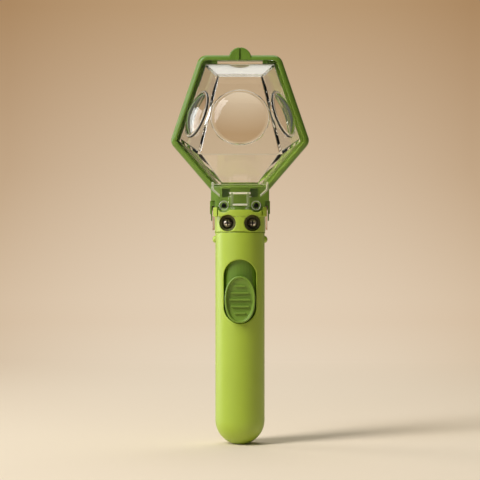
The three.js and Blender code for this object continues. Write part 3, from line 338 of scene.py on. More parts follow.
def polishedAcrylic(name, look):
    # clear acrylic, polished: sharp highlights, edges that gather light, a trace of mould flow
    material, tree = newMaterial(name)
    place = addNode(tree, "ShaderNodeTexCoord").outputs["Object"]
    flow = addNode(tree, "ShaderNodeTexNoise", {"Scale": 1 / (look["flowMm"] * mm), "Detail": 1}, {"Vector": place})
    haze = addNode(tree, "ShaderNodeTexNoise", {"Scale": 1 / (look["hazeMm"] * mm), "Detail": 4}, {"Vector": place})
    rough = addNode(tree, "ShaderNodeMapRange", {"To Min": look["roughness"][0], "To Max": look["roughness"][1]},
                    {"Value": haze.outputs["Fac"]})
    bump = addNode(tree, "ShaderNodeBump", {"Strength": look["bump"], "Distance": acrylic["flowDeepMm"] * mm},
                   {"Height": flow.outputs["Fac"]})
    shader = addNode(tree, "ShaderNodeBsdfPrincipled",
                     {"Base Color": toLinear(look["tint"]), "Transmission Weight": 1, "IOR": acrylic["ior"],
                      "Specular Tint": [look["gloss"]] * 3 + [1]},
                     {"Roughness": rough.outputs["Result"], "Normal": bump.outputs["Normal"]})
    body = shader
    if look["scatter"]:
        # a satin surface scatters part of the light, on both sides of it
        above = addNode(tree, "ShaderNodeBsdfDiffuse", {"Color": toLinear(acrylic["veil"])})
        below = addNode(tree, "ShaderNodeBsdfTranslucent", {"Color": toLinear(acrylic["veil"])})
        veil = addNode(tree, "ShaderNodeMixShader", {0: acrylic["through"]},
                       {1: above.outputs["BSDF"], 2: below.outputs["BSDF"]})
        body = addNode(tree, "ShaderNodeMixShader", {0: look["scatter"]},
                       {1: shader.outputs["BSDF"], 2: veil.outputs[0]})
        if look["tabReflection"]:
            # painted reflection of the tab: a half-round of the satin face is left polished and clear
            east, north = look["tabReflection"]
            middle = addNode(tree, "ShaderNodeVectorMath",
                             {"operation": "SUBTRACT", 1: (0, acrylic["tabReflectionUpMm"] * mm, 0)}, {0: place})
            share = addNode(tree, "ShaderNodeVectorMath",
                            {"operation": "MULTIPLY", 1: (1 / (east * mm), 1 / (north * mm), 0)},
                            {0: middle.outputs[0]})
            reach = addNode(tree, "ShaderNodeVectorMath", {"operation": "LENGTH"}, {0: share.outputs[0]})
            inside = addNode(tree, "ShaderNodeMath", {"operation": "LESS_THAN", 1: 1}, {0: reach.outputs["Value"]})
            body = addNode(tree, "ShaderNodeMixShader", None,
                           {0: inside.outputs[0], 1: body.outputs[0], 2: shader.outputs["BSDF"]})
    through = addNode(tree, "ShaderNodeBsdfTransparent", {"Color": toLinear(look["shadow"])})
    rays = addNode(tree, "ShaderNodeLightPath")  # light reaches what stands inside the clear chamber
    mix = addNode(tree, "ShaderNodeMixShader", None,
                  {0: rays.outputs["Is Shadow Ray"], 1: body.outputs[0], 2: through.outputs["BSDF"]})
    addNode(tree, "ShaderNodeOutputMaterial", None, {"Surface": mix.outputs["Shader"]})
    return material


def platedSteel(name, look):
    # screw and spring steel, plated or oxidised: uneven tone and gloss where it is worn
    material, tree = newMaterial(name)
    place = addNode(tree, "ShaderNodeTexCoord").outputs["Object"]
    wear = addNode(tree, "ShaderNodeTexNoise", {"Scale": 1 / (look["wearMm"] * mm), "Detail": 5}, {"Vector": place})
    shader = addNode(tree, "ShaderNodeBsdfPrincipled", {"Metallic": 1},
                     unevenSkin(tree, look, wear, wear, look["wearDeepMm"]))
    addNode(tree, "ShaderNodeOutputMaterial", None, {"Surface": shader.outputs["BSDF"]})
    return material


limeAbs = mouldedPlastic("limeAbs", {  # grip and collar: a hard satin skin, which gives the grip a pale sheen
    "shade": "#a0b820", "light": "#aac328", "driftMm": 30, "grainMm": 0.6, "roughness": (0.44, 0.54),
    "bump": 0.25, "depth": 0.06, "coat": 0.9,
})
leafAbs = mouldedPlastic("leafAbs", {  # frame and carriage: a smoother mould, which gives a tighter highlight
    "shade": "#5d7d20", "light": "#6b8c2a", "driftMm": 25, "grainMm": 0.6, "roughness": (0.32, 0.42),
    "bump": 0.18, "depth": 0.04, "coat": 0,
})
padAbs = mouldedPlastic("padAbs", {  # thumb pad: dull, so that its ribs read by shade alone
    "shade": "#6f8f2a", "light": "#7b9b34", "driftMm": 12, "grainMm": 0.5, "roughness": (0.38, 0.48),
    "bump": 0.25, "depth": 0.04, "coat": 0,
})
wellShadeAbs = mouldedPlastic("wellShadeAbs", {  # inside of the screw wells: painted shade, a dull dark olive for the shade deep in the wells
    "shade": "#3a3a12", "light": "#5c5826", "driftMm": 4, "grainMm": 0.5, "roughness": (0.4, 0.55),
    "bump": 0.25, "depth": 0, "coat": 0,
})
clearLook = {
    "tint": "#fdfcf8", "shadow": "#f0ebe0", "flowMm": 22, "hazeMm": 5, "roughness": (0.0, 0.03), "bump": 0.12,
    "gloss": 0.8, "scatter": 0, "tabReflection": None,
}
satinLook = {**clearLook, "shadow": "#e8e2d6"}
clearAcrylic = polishedAcrylic("clearAcrylic", clearLook)
lensAcrylic = polishedAcrylic("lensAcrylic", {  # a thin anti-glare coat leaves its highlights soft
    **clearLook, "bump": 0.08, "gloss": 0.3,
})
satinEdge = polishedAcrylic("satinEdgeAcrylic", {  # etched edges and bars, which catch light as white lines
    **satinLook, "hazeMm": 1.5, "roughness": (0.15, 0.3), "gloss": 1, "scatter": 0.36,
})
cheekAcrylic = polishedAcrylic("cheekAcrylic", {  # the door's cheeks, seen along their edges, look deeper
    **clearLook, "tint": "#e6d3c4", "shadow": "#e0d2c0", "roughness": (0.05, 0.12),
})
satinFace = polishedAcrylic("satinFaceAcrylic", {  # etched top facet, which spreads the top light evenly; a clear half-round in it is a painted reflection of the tab
    **satinLook, "hazeMm": 2, "roughness": (0.3, 0.34), "bump": 0.05, "scatter": 0.86, "tabReflection": (6.5, 8.6),
})
zincSteel = platedSteel("zincSteel", {  # bright zinc plate; its warm tint is a painted reflection of the paper
    "shade": "#d6c6ba", "light": "#efe4da", "wearMm": 1.2, "wearDeepMm": 0.03, "roughness": (0.34, 0.46),
    "bump": 0.15,
})
blackSteelAndShade = platedSteel("blackSteelAndShade", {  # black oxide, which leaves only a soft glint on the sockets; it is also the painted shade in the collar screws' cross recess
    "shade": "#1b1c1a", "light": "#2e302c", "wearMm": 1.0, "wearDeepMm": 0.03, "roughness": (0.3, 0.42),
    "bump": 0.15,
})
print("materials made")


def paint(piece, *materials):
    piece.data.materials.clear()
    for material in materials:
        piece.data.materials.append(material)


def smooth(piece, angle):
    piece.data.shade_smooth()
    piece.data.set_sharp_from_angle(angle=math.radians(angle))


def dress(piece, material, body, stands=(), angle=38):
    # smooth shading with creases kept, the finish where it is one for all faces, the record's slot, and the
    # CAD nodes that it stands for
    if material:
        paint(piece, material)
    smooth(piece, angle)
    evenOut = piece.modifiers.new("evenOut", "WEIGHTED_NORMAL")
    evenOut.keep_sharp = True
    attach(piece, body)
    if stands:
        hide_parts(*stands)
    return piece


# grip shells

grip = {
    "radius": 16, "bore": 13.8, "top": 137.2, "footFlat": 4, "seam": 0.15, "edge": 0.35,
    "slotHalf": 10.4, "slotLow": 78.8, "slotHigh": 119.6, "slotEdge": 0.8, "postZ": (24, 53.8), "postRadius": 3.4,
    "postShort": 0.8, "pinZ": 132.7, "pinHole": 1.9, "pinSeat": 2.7, "pinSeatX": 15.4,
}
gripRear = {  # blocks as ranges of x, y and z, and bores as a radius with both ends
    "bandRadius": 16.3, "bandZ": (136.6, 147.4), "bandEdge": 0.4, "bound": (15, 100, 140),
    "prong": ((4.6, 9.9), (0.5, 4.6), (118.5, 147.4)), "bridge": ((4.6, 9.9), (0.5, 16), (118.5, 127.2)),
    "springPost": ((-2.6, 2.6), (0.9, 16), (107, 113)), "springSeat": ((-2.3, 2.3), (-2, 4.9), (108.7, 109.7)),
    "screwSeat": (2.6, 9, 20), "screwHole": (1.5, -1, 12), "prongHole": (1.5, -2, 9),
}


def gripTube(name):
    radius, bore, edge = grip["radius"], grip["bore"], grip["edge"]
    centre = math.sqrt(radius ** 2 - grip["footFlat"] ** 2)
    foot = -math.degrees(math.acos(grip["footFlat"] / radius))
    levels = [centre + (grip["top"] - centre) * k / 36 for k in range(1, 36)]
    outer = [(0, 0)] + arc(0, centre, radius, foot, 0, 24) + [(radius, z) for z in levels]
    rimEdge = arc(radius - edge, grip["top"] - edge, edge, 0, 90, 4)
    inner = [(bore, grip["top"])] + [(bore, z) for z in reversed(levels)] + arc(0, centre, bore, 0, -90, 20)
    body = revolve(name, outer + rimEdge + inner, 128)
    # screw posts, which end just short of the outside
    posts = [rod("post", grip["postRadius"], -radius - 1, radius + 1, "y", (0, z)) for z in grip["postZ"]]
    short = radius - grip["postShort"]
    reach = revolve("reach", [(0, 0.6), *arc(0, centre, short, -75, 0, 16), (short, 120), (0, 120)], 64)
    return join(body, keep(join(*posts), reach))


def halfSpace(sign):
    low, high = sorted((sign * grip["seam"], sign * 30))
    return box("half", span(30), (low, high), (-5, 200))


def pinHoles():
    hole = rod("pinHole", grip["pinHole"], 5, 20, "x", (0, grip["pinZ"]), 32)
    seat = rod("pinSeat", grip["pinSeat"], grip["pinSeatX"], 20, "x", (0, grip["pinZ"]), 32)
    return pair(hole) + pair(seat)


def slotCutter():
    # long slot whose rim is rounded all round, following the grip's curve; it starts well outside the grip
    half, edge = grip["slotHalf"], grip["slotEdge"]
    turns = [k * math.pi / 12 for k in range(7)]
    steps = [(edge, -6)] + [(edge * (1 - math.sin(a)), edge * (1 - math.cos(a))) for a in turns] + [(0, 8)]
    rings = []
    for grow, depth in steps:
        outline = arc(0, grip["slotLow"] + half, half + grow, 180, 360, 40)
        outline += arc(0, grip["slotHigh"] - half, half + grow, 0, 180, 40)
        rings.append([(x, depth - math.sqrt(grip["radius"] ** 2 - x ** 2), z) for x, z in outline])
    return loft("slot", rings)


def makeBand():
    # collar band of the back half, which meets the front collar at the seam
    bore, radius, edge, (low, top) = grip["bore"], gripRear["bandRadius"], gripRear["bandEdge"], gripRear["bandZ"]
    profile = [(bore, low), (radius, low), *arc(radius - edge, top - edge, edge, 0, 90, 4), (bore, top)]
    return keep(revolve("band", profile, 128, ring=True), halfSpace(1))


def inBound(piece):
    return keep(piece, rod("bound", *gripRear["bound"]))


gripFront = keep(gripTube("gripFront"), halfSpace(-1))
gripFront = cut(gripFront, slotCutter(), *pinHoles())
soften(gripFront, grip["edge"], 2, 50, lambda p: abs(p.y) < 2 * grip["seam"] and abs(p.x) > grip["radius"] - 0.5)
dress(gripFront, limeAbs, "handle", ["grip_front_shell"])

gripBack = keep(gripTube("gripBack"), halfSpace(1))
band = makeBand()
prongs = pair(box("prong", *gripRear["prong"], 0.2))
bridges = pair(inBound(box("bridge", *gripRear["bridge"])))
springPost = cut(inBound(box("springPost", *gripRear["springPost"])), box("springSeat", *gripRear["springSeat"]))
screwSeats = [rod("screwSeat", *gripRear["screwSeat"], "y", (0, z), 48) for z in grip["postZ"]]
screwHoles = [rod("screwHole", *gripRear["screwHole"], "y", (0, z), 32) for z in grip["postZ"]]
gripBack = join(gripBack, band, springPost, *prongs, *bridges)
gripBack = cut(gripBack, *screwSeats, *screwHoles, *pinHoles(),
               *pair(rod("prongHole", *gripRear["prongHole"], "y", collarWell, 32)))
soften(gripBack, 0.3, 3, 45, lambda p: p.y > 12 and p.z < 60)  # rims of the two screw holes
dress(gripBack, limeAbs, "handle", ["grip_back_shell"])
print("grip made")

# collar

collar = {
    "radius": 16.3, "edge": 0.25, "low": 137.5, "bandTop": 147.4, "ledgeTop": 151.7, "postTop": 153.3, "postIn": 14.7,
    "groove": 0.7, "halfWidth": 17.3, "front": -16.4, "bow": 6.3, "back": -7.6, "round": 0.35,
    "well": (5.3, -20, -0.3), "notch": (4.5, -20, 0), "latchSlot": ((-6.3, 6.3), (-20, -15.2), (136, 138)),
}


def ledgeOutline():
    # shallow arc through the band's front, carried straight back at both ends
    half, bow, back = collar["halfWidth"], collar["bow"], collar["back"]
    radius = (half ** 2 + bow ** 2) / (2 * bow)
    turn = math.degrees(math.asin(half / radius))
    return arc(0, radius + collar["front"], radius, -90 - turn, -90 + turn, 48) + [(half, back), (-half, back)]


def makeCollarBand():
    # reaches a little way into the ledge above it
    bore, radius, edge = grip["bore"], collar["radius"], collar["edge"]
    low, top = collar["low"], collar["bandTop"] + 0.3
    profile = [(bore, low), (radius - edge, low), (radius, low + edge), (radius, top), (bore, top)]
    return keep(revolve("collar", profile, 128, ring=True), halfSpace(-1))


def makeCollarTop():
    bandTop, postIn = collar["bandTop"], collar["postIn"]
    ledge = prism("ledge", ledgeOutline(), "z", bandTop, collar["ledgeTop"], collar["round"])
    posts = [
        keep(prism("post", ledgeOutline(), "z", bandTop + 0.5, collar["postTop"], collar["round"]),
             box("postSpace", sorted((side * postIn, side * 20)), (-20, 0), (140, 160)))
        for side in (-1, 1)
    ]
    grooves = pair(box("groove", (postIn - collar["groove"], postIn), (-20, -10), (bandTop, 155)))
    return cut(join(ledge, *posts), rod("collarBore", grip["bore"], 130, 160, steps=128), *grooves)


collarPiece = join(makeCollarBand(), makeCollarTop())
collarPiece.name = "collarPiece"
collarPiece = cut(
    collarPiece,
    *pair(rod("well", *collar["well"], "y", collarWell, 72)),
    *pair(rod("notch", *collar["notch"], "y", chamberLug, 72)),
    box("latchSlot", *collar["latchSlot"]),
)
# rims of the wells and the notches
soften(collarPiece, 0.4, 3, 45, lambda p: p.y < -9 and abs(p.x) < 15 and 138.4 < p.z < 151)
dress(collarPiece, limeAbs, "handle", ["collar"])
print("collar made")

# head frame: rim, neck and the tang that stands in the grip

rim = {
    "front": -1, "back": 7, "band": 3.6, "slope": 3.2, "edge": 0.6, "lipInset": 5.9, "lipFront": 5.5, "lipSink": 0.4,
    "tab": (7.43, -1, 4.5), "tabZ": 250.17, "under": ((-12, 12), (-4, 9), (235, 249.6)),
    "slit": ((-0.42, 0.42), (-3, 3), (249.4, 262)), "sill": ((-17.5, 17.5), (5.5, 7), (166, 169.4)),
    "hook": ((14.8, 18.2), (1.2, 3.2), (247.3, 251)), "windowLow": 247.2,
}
neck = {
    "half": 18.9, "front": -9, "back": 7, "bow": 41.9, "low": 157.7, "stepZ": (153.6, 160),
    "core": ((-16.3, 16.3), (-5.5, 7), (147.7, 160)), "plug": (13.5, 147.6, 153.4), "knuckle": (3.8, -16.3, 16.3),
    "pocket": ((6.4, 11.6), (-12, -4), (160, 165.4)),
}
hinge = {"y": 8.3, "z": 153.4, "bore": (1.8, -25, 25)}
ear = {
    "x": (18.2, 19.5), "round": 4.3, "reach": 9.3, "tip": (1.9, 18.2, 19), "tipZ": 146.7,
    "link": ((18.2, 18.9), (-1, 7), (156.4, 159)), "foot": ((18.2, 19), (6.4, 10.2), (146.7, 150.4)),
    "web": ((15, 18.9), (-1, 0.5), (154.4, 157.7)),
}
tang = {
    "inner": 11.3, "outer": 13.5, "z": (127.5, 149.7), "cup": (6, -18, -5.4), "cupSpace": (5, -20, -8.6),
    "boss": (5, -8.6, -3.5), "frontWindow": ((-20, 20), (-20, -4.3), (120, 132.3)),
    "backWindow": ((-20, 20), (4.3, 20), (120, 132.3)),
}
spaces = {  # what the rack, the sector and the screws need
    "rackSpace": ((-2.9, 2.9), (-5.2, 4.6), (122, 169)), "sectorSpace": ((-2.9, 2.9), (4, 18), (122, 164.6)),
    "innerWell": (3.9, -14, -6.2), "shankHole": (1.5, -8, 9), "lugHole": (1.2, -11, -3.3),
}


def makeRim():
    # the front falls away to the outside in a quarter round, and the back edges are eased
    band, edge, rise = rim["band"], rim["edge"], (head["neckTop"] - head["waist"].y) / rim["band"]
    front, back = rim["front"], rim["back"]
    section = [((band - 0.5) * (1 - math.cos(a)), front + rim["slope"] * (1 - math.sin(a)))
               for a in [k * math.pi / 20 for k in range(11)]]
    section += [(band - 0.15, front + 0.15), (band, front + 0.5)]
    section += arc(band - edge, back - edge, edge, 0, 90, 4) + arc(edge, back - edge, edge, 90, 180, 4)
    ring = loft("headFrame", [[(x, y, z) for x, z in headOutline(inset, head["waist"].y + inset * rise)]
                              for inset, y in section], closed=True)
    # narrow lip along the back, which the chamber seats on; it stops between the hooks
    sink, hookIn = rim["lipSink"], rim["hook"][0][0]
    lip = prism("lip", headOutline(band - sink, head["neckTop"] - sink), "y", rim["lipFront"], back)
    lip = cut(lip, prism("lipSpace", headOutline(rim["lipInset"], head["neckTop"] - 2), "y", 0, 10),
              box("topWindow", span(hookIn), (0, 10), (rim["windowLow"], head["shoulder"].y - band)))
    tab = cut(rod("tab", *rim["tab"], "y", (0, rim["tabZ"]), 96, 0.8), box("under", *rim["under"]))
    slit, sill = box("slit", *rim["slit"]), box("sill", *rim["sill"])
    hooks = pair(box("hook", *rim["hook"], 0.35))
    return cut(join(ring, lip, tab, sill, *hooks), slit)


def neckOutline(half):
    # block with a slightly rounded front
    radius = neck["bow"]
    reach = math.degrees(math.asin(half / radius))
    front = arc(0, radius + neck["front"], radius, -90 - reach, -90 + reach, 24)
    return front + [(half, neck["back"]), (-half, neck["back"])]


def makeNeck():
    upper = prism("neck", neckOutline(neck["half"]), "z", neck["low"], head["neckTop"], 0.5)
    core = box("core", *neck["core"])
    coreFront = prism("coreFront", neckOutline(neck["core"][0][1]), "z", *neck["stepZ"], 0.3)
    plug = rod("plug", *neck["plug"], steps=96)
    knuckle = rod("knuckle", *neck["knuckle"], "x", (hinge["y"], hinge["z"]), 64, 0.3)
    pockets = pair(box("pocket", *neck["pocket"], 0.4))
    return cut(join(upper, core, coreFront, plug, knuckle), *pockets)


def makeEar():
    y, z, radius, front = hinge["y"], hinge["z"], ear["round"], hinge["y"] - ear["reach"]
    outline = [(front, z - radius), *arc(y, z, radius, -90, 90, 24), (front, z + radius)]
    plate = prism("ear", outline, "x", *ear["x"], 0.3)
    link, foot, web = (box(name, *ear[name]) for name in ("link", "foot", "web"))
    tip = rod("tip", *ear["tip"], "x", (y, ear["tipZ"]), 48, 0.2)
    return join(plate, link, foot, tip, web)


def makeTang():
    inner, outer, (low, top) = tang["inner"], tang["outer"], tang["z"]
    tube = revolve("tang", [(inner, low), (outer, low), (outer, top), (inner, top)], 96, ring=True)
    tube = cut(tube, *[box(name, *tang[name]) for name in ("frontWindow", "backWindow")])
    cup = keep(rod("cup", *tang["cup"], "y", collarWell, 72), rod("bound", outer, 120, 160, steps=96))
    cup = cut(cup, rod("cupSpace", *tang["cupSpace"], "y", collarWell, 72))
    boss = rod("boss", *tang["boss"], "y", collarWell, 72, 0.35)
    return join(tube, *pair(join(cup, boss)))


headFrame = join(makeRim(), makeNeck(), makeTang(), *pair(makeEar()))
headFrame = cut(
    headFrame,
    *[box(name, *spaces[name]) for name in ("rackSpace", "sectorSpace")],
    rod("shaftBore", *hinge["bore"], "x", (hinge["y"], hinge["z"]), 48),
    *pair(rod("innerWell", *spaces["innerWell"], "y", collarWell, 64)),
    *pair(rod("shankHole", *spaces["shankHole"], "y", collarWell, 32)),
    *pair(rod("lugHole", *spaces["lugHole"], "y", chamberLug, 32)),
    *pinHoles(),
)
paint(headFrame, leafAbs, wellShadeAbs)
for face in headFrame.data.polygons:  # the cups round the collar's screws take the wells' painted shade
    place = face.center / mm
    reach = math.hypot(abs(place.x) - collarWell[0], place.z - collarWell[1])
    face.material_index = 1 if reach < tang["cup"][0] + 0.1 and place.y < -3 else 0
dress(headFrame, None, "handle", ["head_frame"])
print("head frame made")

# clear chamber

chamber = {
    "back": 5.2, "wall": 2.4, "footWall": 1.5, "outerRound": 3.6, "innerRound": 0.6, "creaseRound": 0.2,
    "creaseY": -34.8, "creaseZ": 186.4, "faceTopY": -21.4, "faceTopZ": 238.15, "footY": -11.1, "footZ": 168.4,
    "wallInset": 5, "flangeInset": 4.6, "flangeFront": 3.5, "sideLean": 15.9 / 40, "lowerLean": 3.15 / 40,
    "topLean": 9.5 / 26.6, "floor": 167.3, "frontLensZ": 210, "sideLensZ": 213.2,
}
clearSlot, edgeSlot, faceSlot = 0, 1, 2  # polished, etched edge and etched facet, in every clear piece's order


def wallPlane(line, lean):
    start, along = line
    normal = Vector((along.y, -lean, -along.x)).normalized()
    return normal, Vector((start.x, chamber["back"], start.y))


def chamberPlanes(inwards, back):
    crease = Vector((0, chamber["creaseY"], chamber["creaseZ"]))
    face = Vector((0, chamber["creaseZ"] - chamber["faceTopZ"], chamber["faceTopY"] - chamber["creaseY"])).normalized()
    foot = Vector((0, chamber["footZ"] - chamber["creaseZ"], chamber["creaseY"] - chamber["footY"])).normalized()
    inset = chamber["wallInset"]
    right = wallPlane(insetLine(head["elbow"], head["shoulder"], inset), chamber["sideLean"])
    lower = wallPlane(insetLine(head["waist"], head["elbow"], inset), chamber["lowerLean"])
    top = (Vector((0, -chamber["topLean"], 1)).normalized(), Vector((0, chamber["back"], head["shoulder"].y - inset)))
    walls = [(face, crease), (foot, crease), top, right, lower]
    walls += [(Vector((-n.x, n.y, n.z)), Vector((-p.x, p.y, p.z))) for n, p in (right, lower)]
    walls.append((Vector((0, 0, -1)), Vector((0, 0, chamber["floor"]))))
    planes = [(n, -n.dot(p) + inwards) for n, p in walls]
    if inwards:  # thinner below the crease, so that the two creases stand level and the line stays pale
        planes[1] = (foot, -foot.dot(crease) + chamber["footWall"])
    planes.append((Vector((0, 1, 0)), -back))
    return planes


def clearSlots(piece):
    for material in (clearAcrylic, satinEdge, satinFace):
        piece.data.materials.append(material)
    return piece


def hull(name, planes, width):
    corners = points_in_planes([Vector((n.x, n.y, n.z, d)) for n, d in planes], 1e-4, 1e-6)[0]
    work = bmesh.new()
    for corner in corners:
        work.verts.new(corner)
    bmesh.ops.remove_doubles(work, verts=work.verts, dist=1e-3)
    bmesh.ops.convex_hull(work, input=work.verts)
    bmesh.ops.dissolve_limit(work, angle_limit=0.01, verts=work.verts, edges=work.edges)
    mesh = bpy.data.meshes.new(name)
    work.to_mesh(mesh)
    work.free()
    # edges round the open back stay sharp, and the crease across the front is finer than the others
    back = max(vert.co.y for vert in mesh.vertices)
    weights = mesh.attributes.new("bevel_weight_edge", "FLOAT", "EDGE")
    for edge in mesh.edges:
        ends = [mesh.vertices[k].co for k in edge.vertices]
        crease = all(abs(end.z - chamber["creaseZ"]) < 2.5 and end.y < chamber["creaseY"] + 6 for end in ends)
        rounded = chamber["creaseRound"] if crease else 1
        weights.data[edge.index].value = 0 if min(end.y for end in ends) > back - 0.1 else rounded
    piece = newObject(name, mesh)
    bevel = piece.modifiers.new("round", "BEVEL")
    bevel.limit_method = "WEIGHT"
    bevel.width = width
    bevel.segments = 6
    bevel.use_clamp_overlap = True
    settle(piece)
    # the top facet is etched, and so is the narrow face that rounds the crease
    topNormal = Vector((0, -chamber["topLean"], 1)).normalized()
    for face in piece.data.polygons:
        ahead = abs(face.normal.x) < 0.02 and face.normal.y < -0.9
        crease = ahead and abs(face.center.z - chamber["creaseZ"]) < 1 and face.area < 60
        face.material_index = faceSlot if face.normal.dot(topNormal) > 0.999 else edgeSlot if crease else clearSlot
    piece.data.transform(Matrix.Scale(mm, 4))
    return clearSlots(piece)


def meetPlanes(a, b, c):
    cross = b[0].cross(c[0])
    point = -a[1] * cross - b[1] * c[0].cross(a[0]) - c[1] * a[0].cross(b[0])
    return point / a[0].dot(cross)


planes = chamberPlanes(0, chamber["back"])
faceIn, rightIn = planes[0], planes[3]
frontPlace = meetPlanes(faceIn, (Vector((1, 0, 0)), 0), (Vector((0, 0, 1)), -chamber["frontLensZ"]))
sideLevel = (Vector((0, 0, 1)), -chamber["sideLensZ"])
sidePlace = (meetPlanes(rightIn, planes[-1], sideLevel) + meetPlanes(rightIn, faceIn, sideLevel)) / 2
mirrored = lambda v: Vector((-v.x, v.y, v.z))
sideLens = {"seat": 15.8, "hole": 14.2, "dome": 4, "inner": -3.7, "lip": 2}
lenses = {
    "front": {"place": frontPlace, "normal": faceIn[0], "seat": 18.55, "hole": 17.15, "dome": 3.6, "inner": -1.2,
              "lip": 1},
    "right": {"place": sidePlace, "normal": rightIn[0], **sideLens},
    "left": {"place": mirrored(sidePlace), "normal": mirrored(rightIn[0]), **sideLens},
}
lensSeat = {"gap": 0.3, "deep": 1.1, "edge": 0.3, "through": 4.5, "lensRound": 0.35}


def seatCutter(lens):
    seat, hole = lens["seat"], lens["hole"]
    edge, deep, through = lensSeat["edge"], lensSeat["deep"], lensSeat["through"]
    profile = [(0, 2), (seat + edge, 2), (seat + edge, 0), (seat, -edge), (seat, -deep), (hole, -deep),
               (hole, -through), (0, -through)]
    return clearSlots(aim(revolve("seatCutter", profile, 128), lens["place"], lens["normal"]))


def clearBox(name, x, y, z, sides=clearSlot, edges=edgeSlot):
    piece = clearSlots(box(name, x, y, z))
    for face in piece.data.polygons:
        face.material_index = sides
    return soften(piece, 0.4, 3, finish=edges)


bib = {
    "plateY": (-11.1, -9.3), "barY": (-13.1, -10.2), "beadY": (-13.2, -10.2),
    "corners": [(13.2, 160, 1.6), (18.3, 164.4, 1.6), (18.3, 168.4, 1.6)],
    "bead": [(18.3, 169.6, 0), (18.3, 164.4, 1.6), (13.6, 160.3, 0), (12.7, 161.4, 0), (16.8, 165, 1),
             (16.8, 169.6, 0)],
    "tongue": ((-5.9, 5.9), (-11.1, -9.3), (152, 162)), "rib": ((4.4, 5.9), (-13.1, -10.2), (152, 163)),
    "bars": {"topBar": (6.9, 161.8, 163, faceSlot), "crossBar": (5.9, 154.4, 155.6, faceSlot),
             "footBar": (5.9, 152, 153.2, edgeSlot)},
    "armHalf": 3, "armTop": 162, "lugWell": (2.9, -14, -5), "ringHalf": (2.5, 3.2), "ringFront": -11.5,
    "ring": [(2.3, 1), (2.3, 2.1), (2.5, 2.5), (2.8, 2.65), (3.1, 2.5), (3.4, 2.1), (3.4, 0), (1.2, 0), (1.2, 1)],
}


def makeLug():
    (x, z), half = chamberLug, bib["armHalf"]
    arm = clearBox("arm", (x - half, x + half), bib["plateY"], (z, bib["armTop"]), edges=clearSlot)
    ring = clearSlots(aim(revolve("ring", bib["ring"], 72, ring=True), (x, bib["plateY"][1], z), (0, -1, 0)))
    inside, outside = bib["ringHalf"]
    for face in ring.data.polygons:
        place = face.center / mm
        crest = place.y < bib["ringFront"] and inside < math.hypot(place.x - x, place.z - z) < outside
        face.material_index = edgeSlot if crest else clearSlot
    arm = cut(arm, clearSlots(rod("lugWell", *bib["lugWell"], "y", chamberLug, 64)))
    return join(ring, arm)


def makeBib():
    outline = roundCorners(bib["corners"] + [(-x, z, r) for x, z, r in reversed(bib["corners"])])
    plate = soften(clearSlots(prism("bib", outline, "y", *bib["plateY"])), 0.5, 3, finish=edgeSlot)
    tongue = clearBox("tongue", *bib["tongue"])
    ribs = pair(clearBox("rib", *bib["rib"]))
    bars = [clearBox(name, span(half), bib["barY"], (low, high), finish, finish)
            for name, (half, low, high, finish) in bib["bars"].items()]
    # raised bead round each lower corner
    bead = clearSlots(prism("bead", roundCorners(bib["bead"]), "y", *bib["beadY"]))
    beads = pair(soften(bead, 0.7, 5, 50, finish=edgeSlot))
    return join(plate, tongue, *ribs, *bars, *beads, *pair(makeLug()))


shell = hull("chamberShell", planes, chamber["outerRound"])
flange = clearSlots(prism("flange", headOutline(chamber["flangeInset"], chamber["floor"]), "y",
                          chamber["flangeFront"], chamber["back"]))
hollow = hull("hollow", chamberPlanes(chamber["wall"], chamber["back"] + 4), chamber["innerRound"])
for face in hollow.data.polygons:
    face.material_index = clearSlot
shell = cut(join(shell, flange), hollow, *[seatCutter(lens) for lens in lenses.values()])
shell = join(shell, makeBib())
dress(shell, None, "handle", ["chamber"], 25)
print("chamber made")


def makeLens(name, lens):
    # domed outside, hollow inside, and a flat ring with a rounded edge between the seat and the dome
    gap, curve = lensSeat["gap"], lensSeat["lensRound"]
    lip, plug, low = lens["seat"] - gap, lens["hole"] - gap, gap - lensSeat["deep"]
    high = lens["lip"] + low
    outer = (plug ** 2 + lens["dome"] ** 2) / (2 * lens["dome"])
    outerHalf = math.degrees(math.asin(plug / outer))
    inward = [k / 16 for k in range(17)]
    profile = [(plug * t, low - lens["inner"] * (1 - t ** 2)) for t in inward]
    profile += [(lip - 0.2, low), (lip, low + 0.2)]
    profile += arc(lip - curve, high - curve, curve, 0, 90, 4)
    profile += arc(0, high + lens["dome"] - outer, outer, 90 - outerHalf, 90, 24)
    piece = clearSlots(revolve(name, profile, 128))
    for face in piece.data.polygons:
        reach = math.hypot(face.center.x, face.center.y) / mm
        rounded = reach > lip - curve - 0.01 and face.center.z > (high - curve - 0.01) * mm
        face.material_index = edgeSlot if rounded else clearSlot
    return aim(piece, lens["place"], lens["normal"])


for side, lens in lenses.items():
    piece = makeLens(side + "Lens", lens)
    if side == "front":
        piece.data.materials[clearSlot] = lensAcrylic
    dress(piece, None, "handle", [side + "_lens"], 30)
print("lenses made")

# trap door

door = {
    "front": 7.3, "back": 9.3, "inset": 0.4, "bead": 2, "beadFront": 8.3, "beadBack": 10.4, "apronZ": (158.6, 168),
    "cheekX": (16.6, 17.9), "tailHalf": 3.3, "tailDrop": 14.9, "tailRound": 2, "strapTop": 167, "disc": 4,
    "soft": 0.3, "edge": 0.4,
}


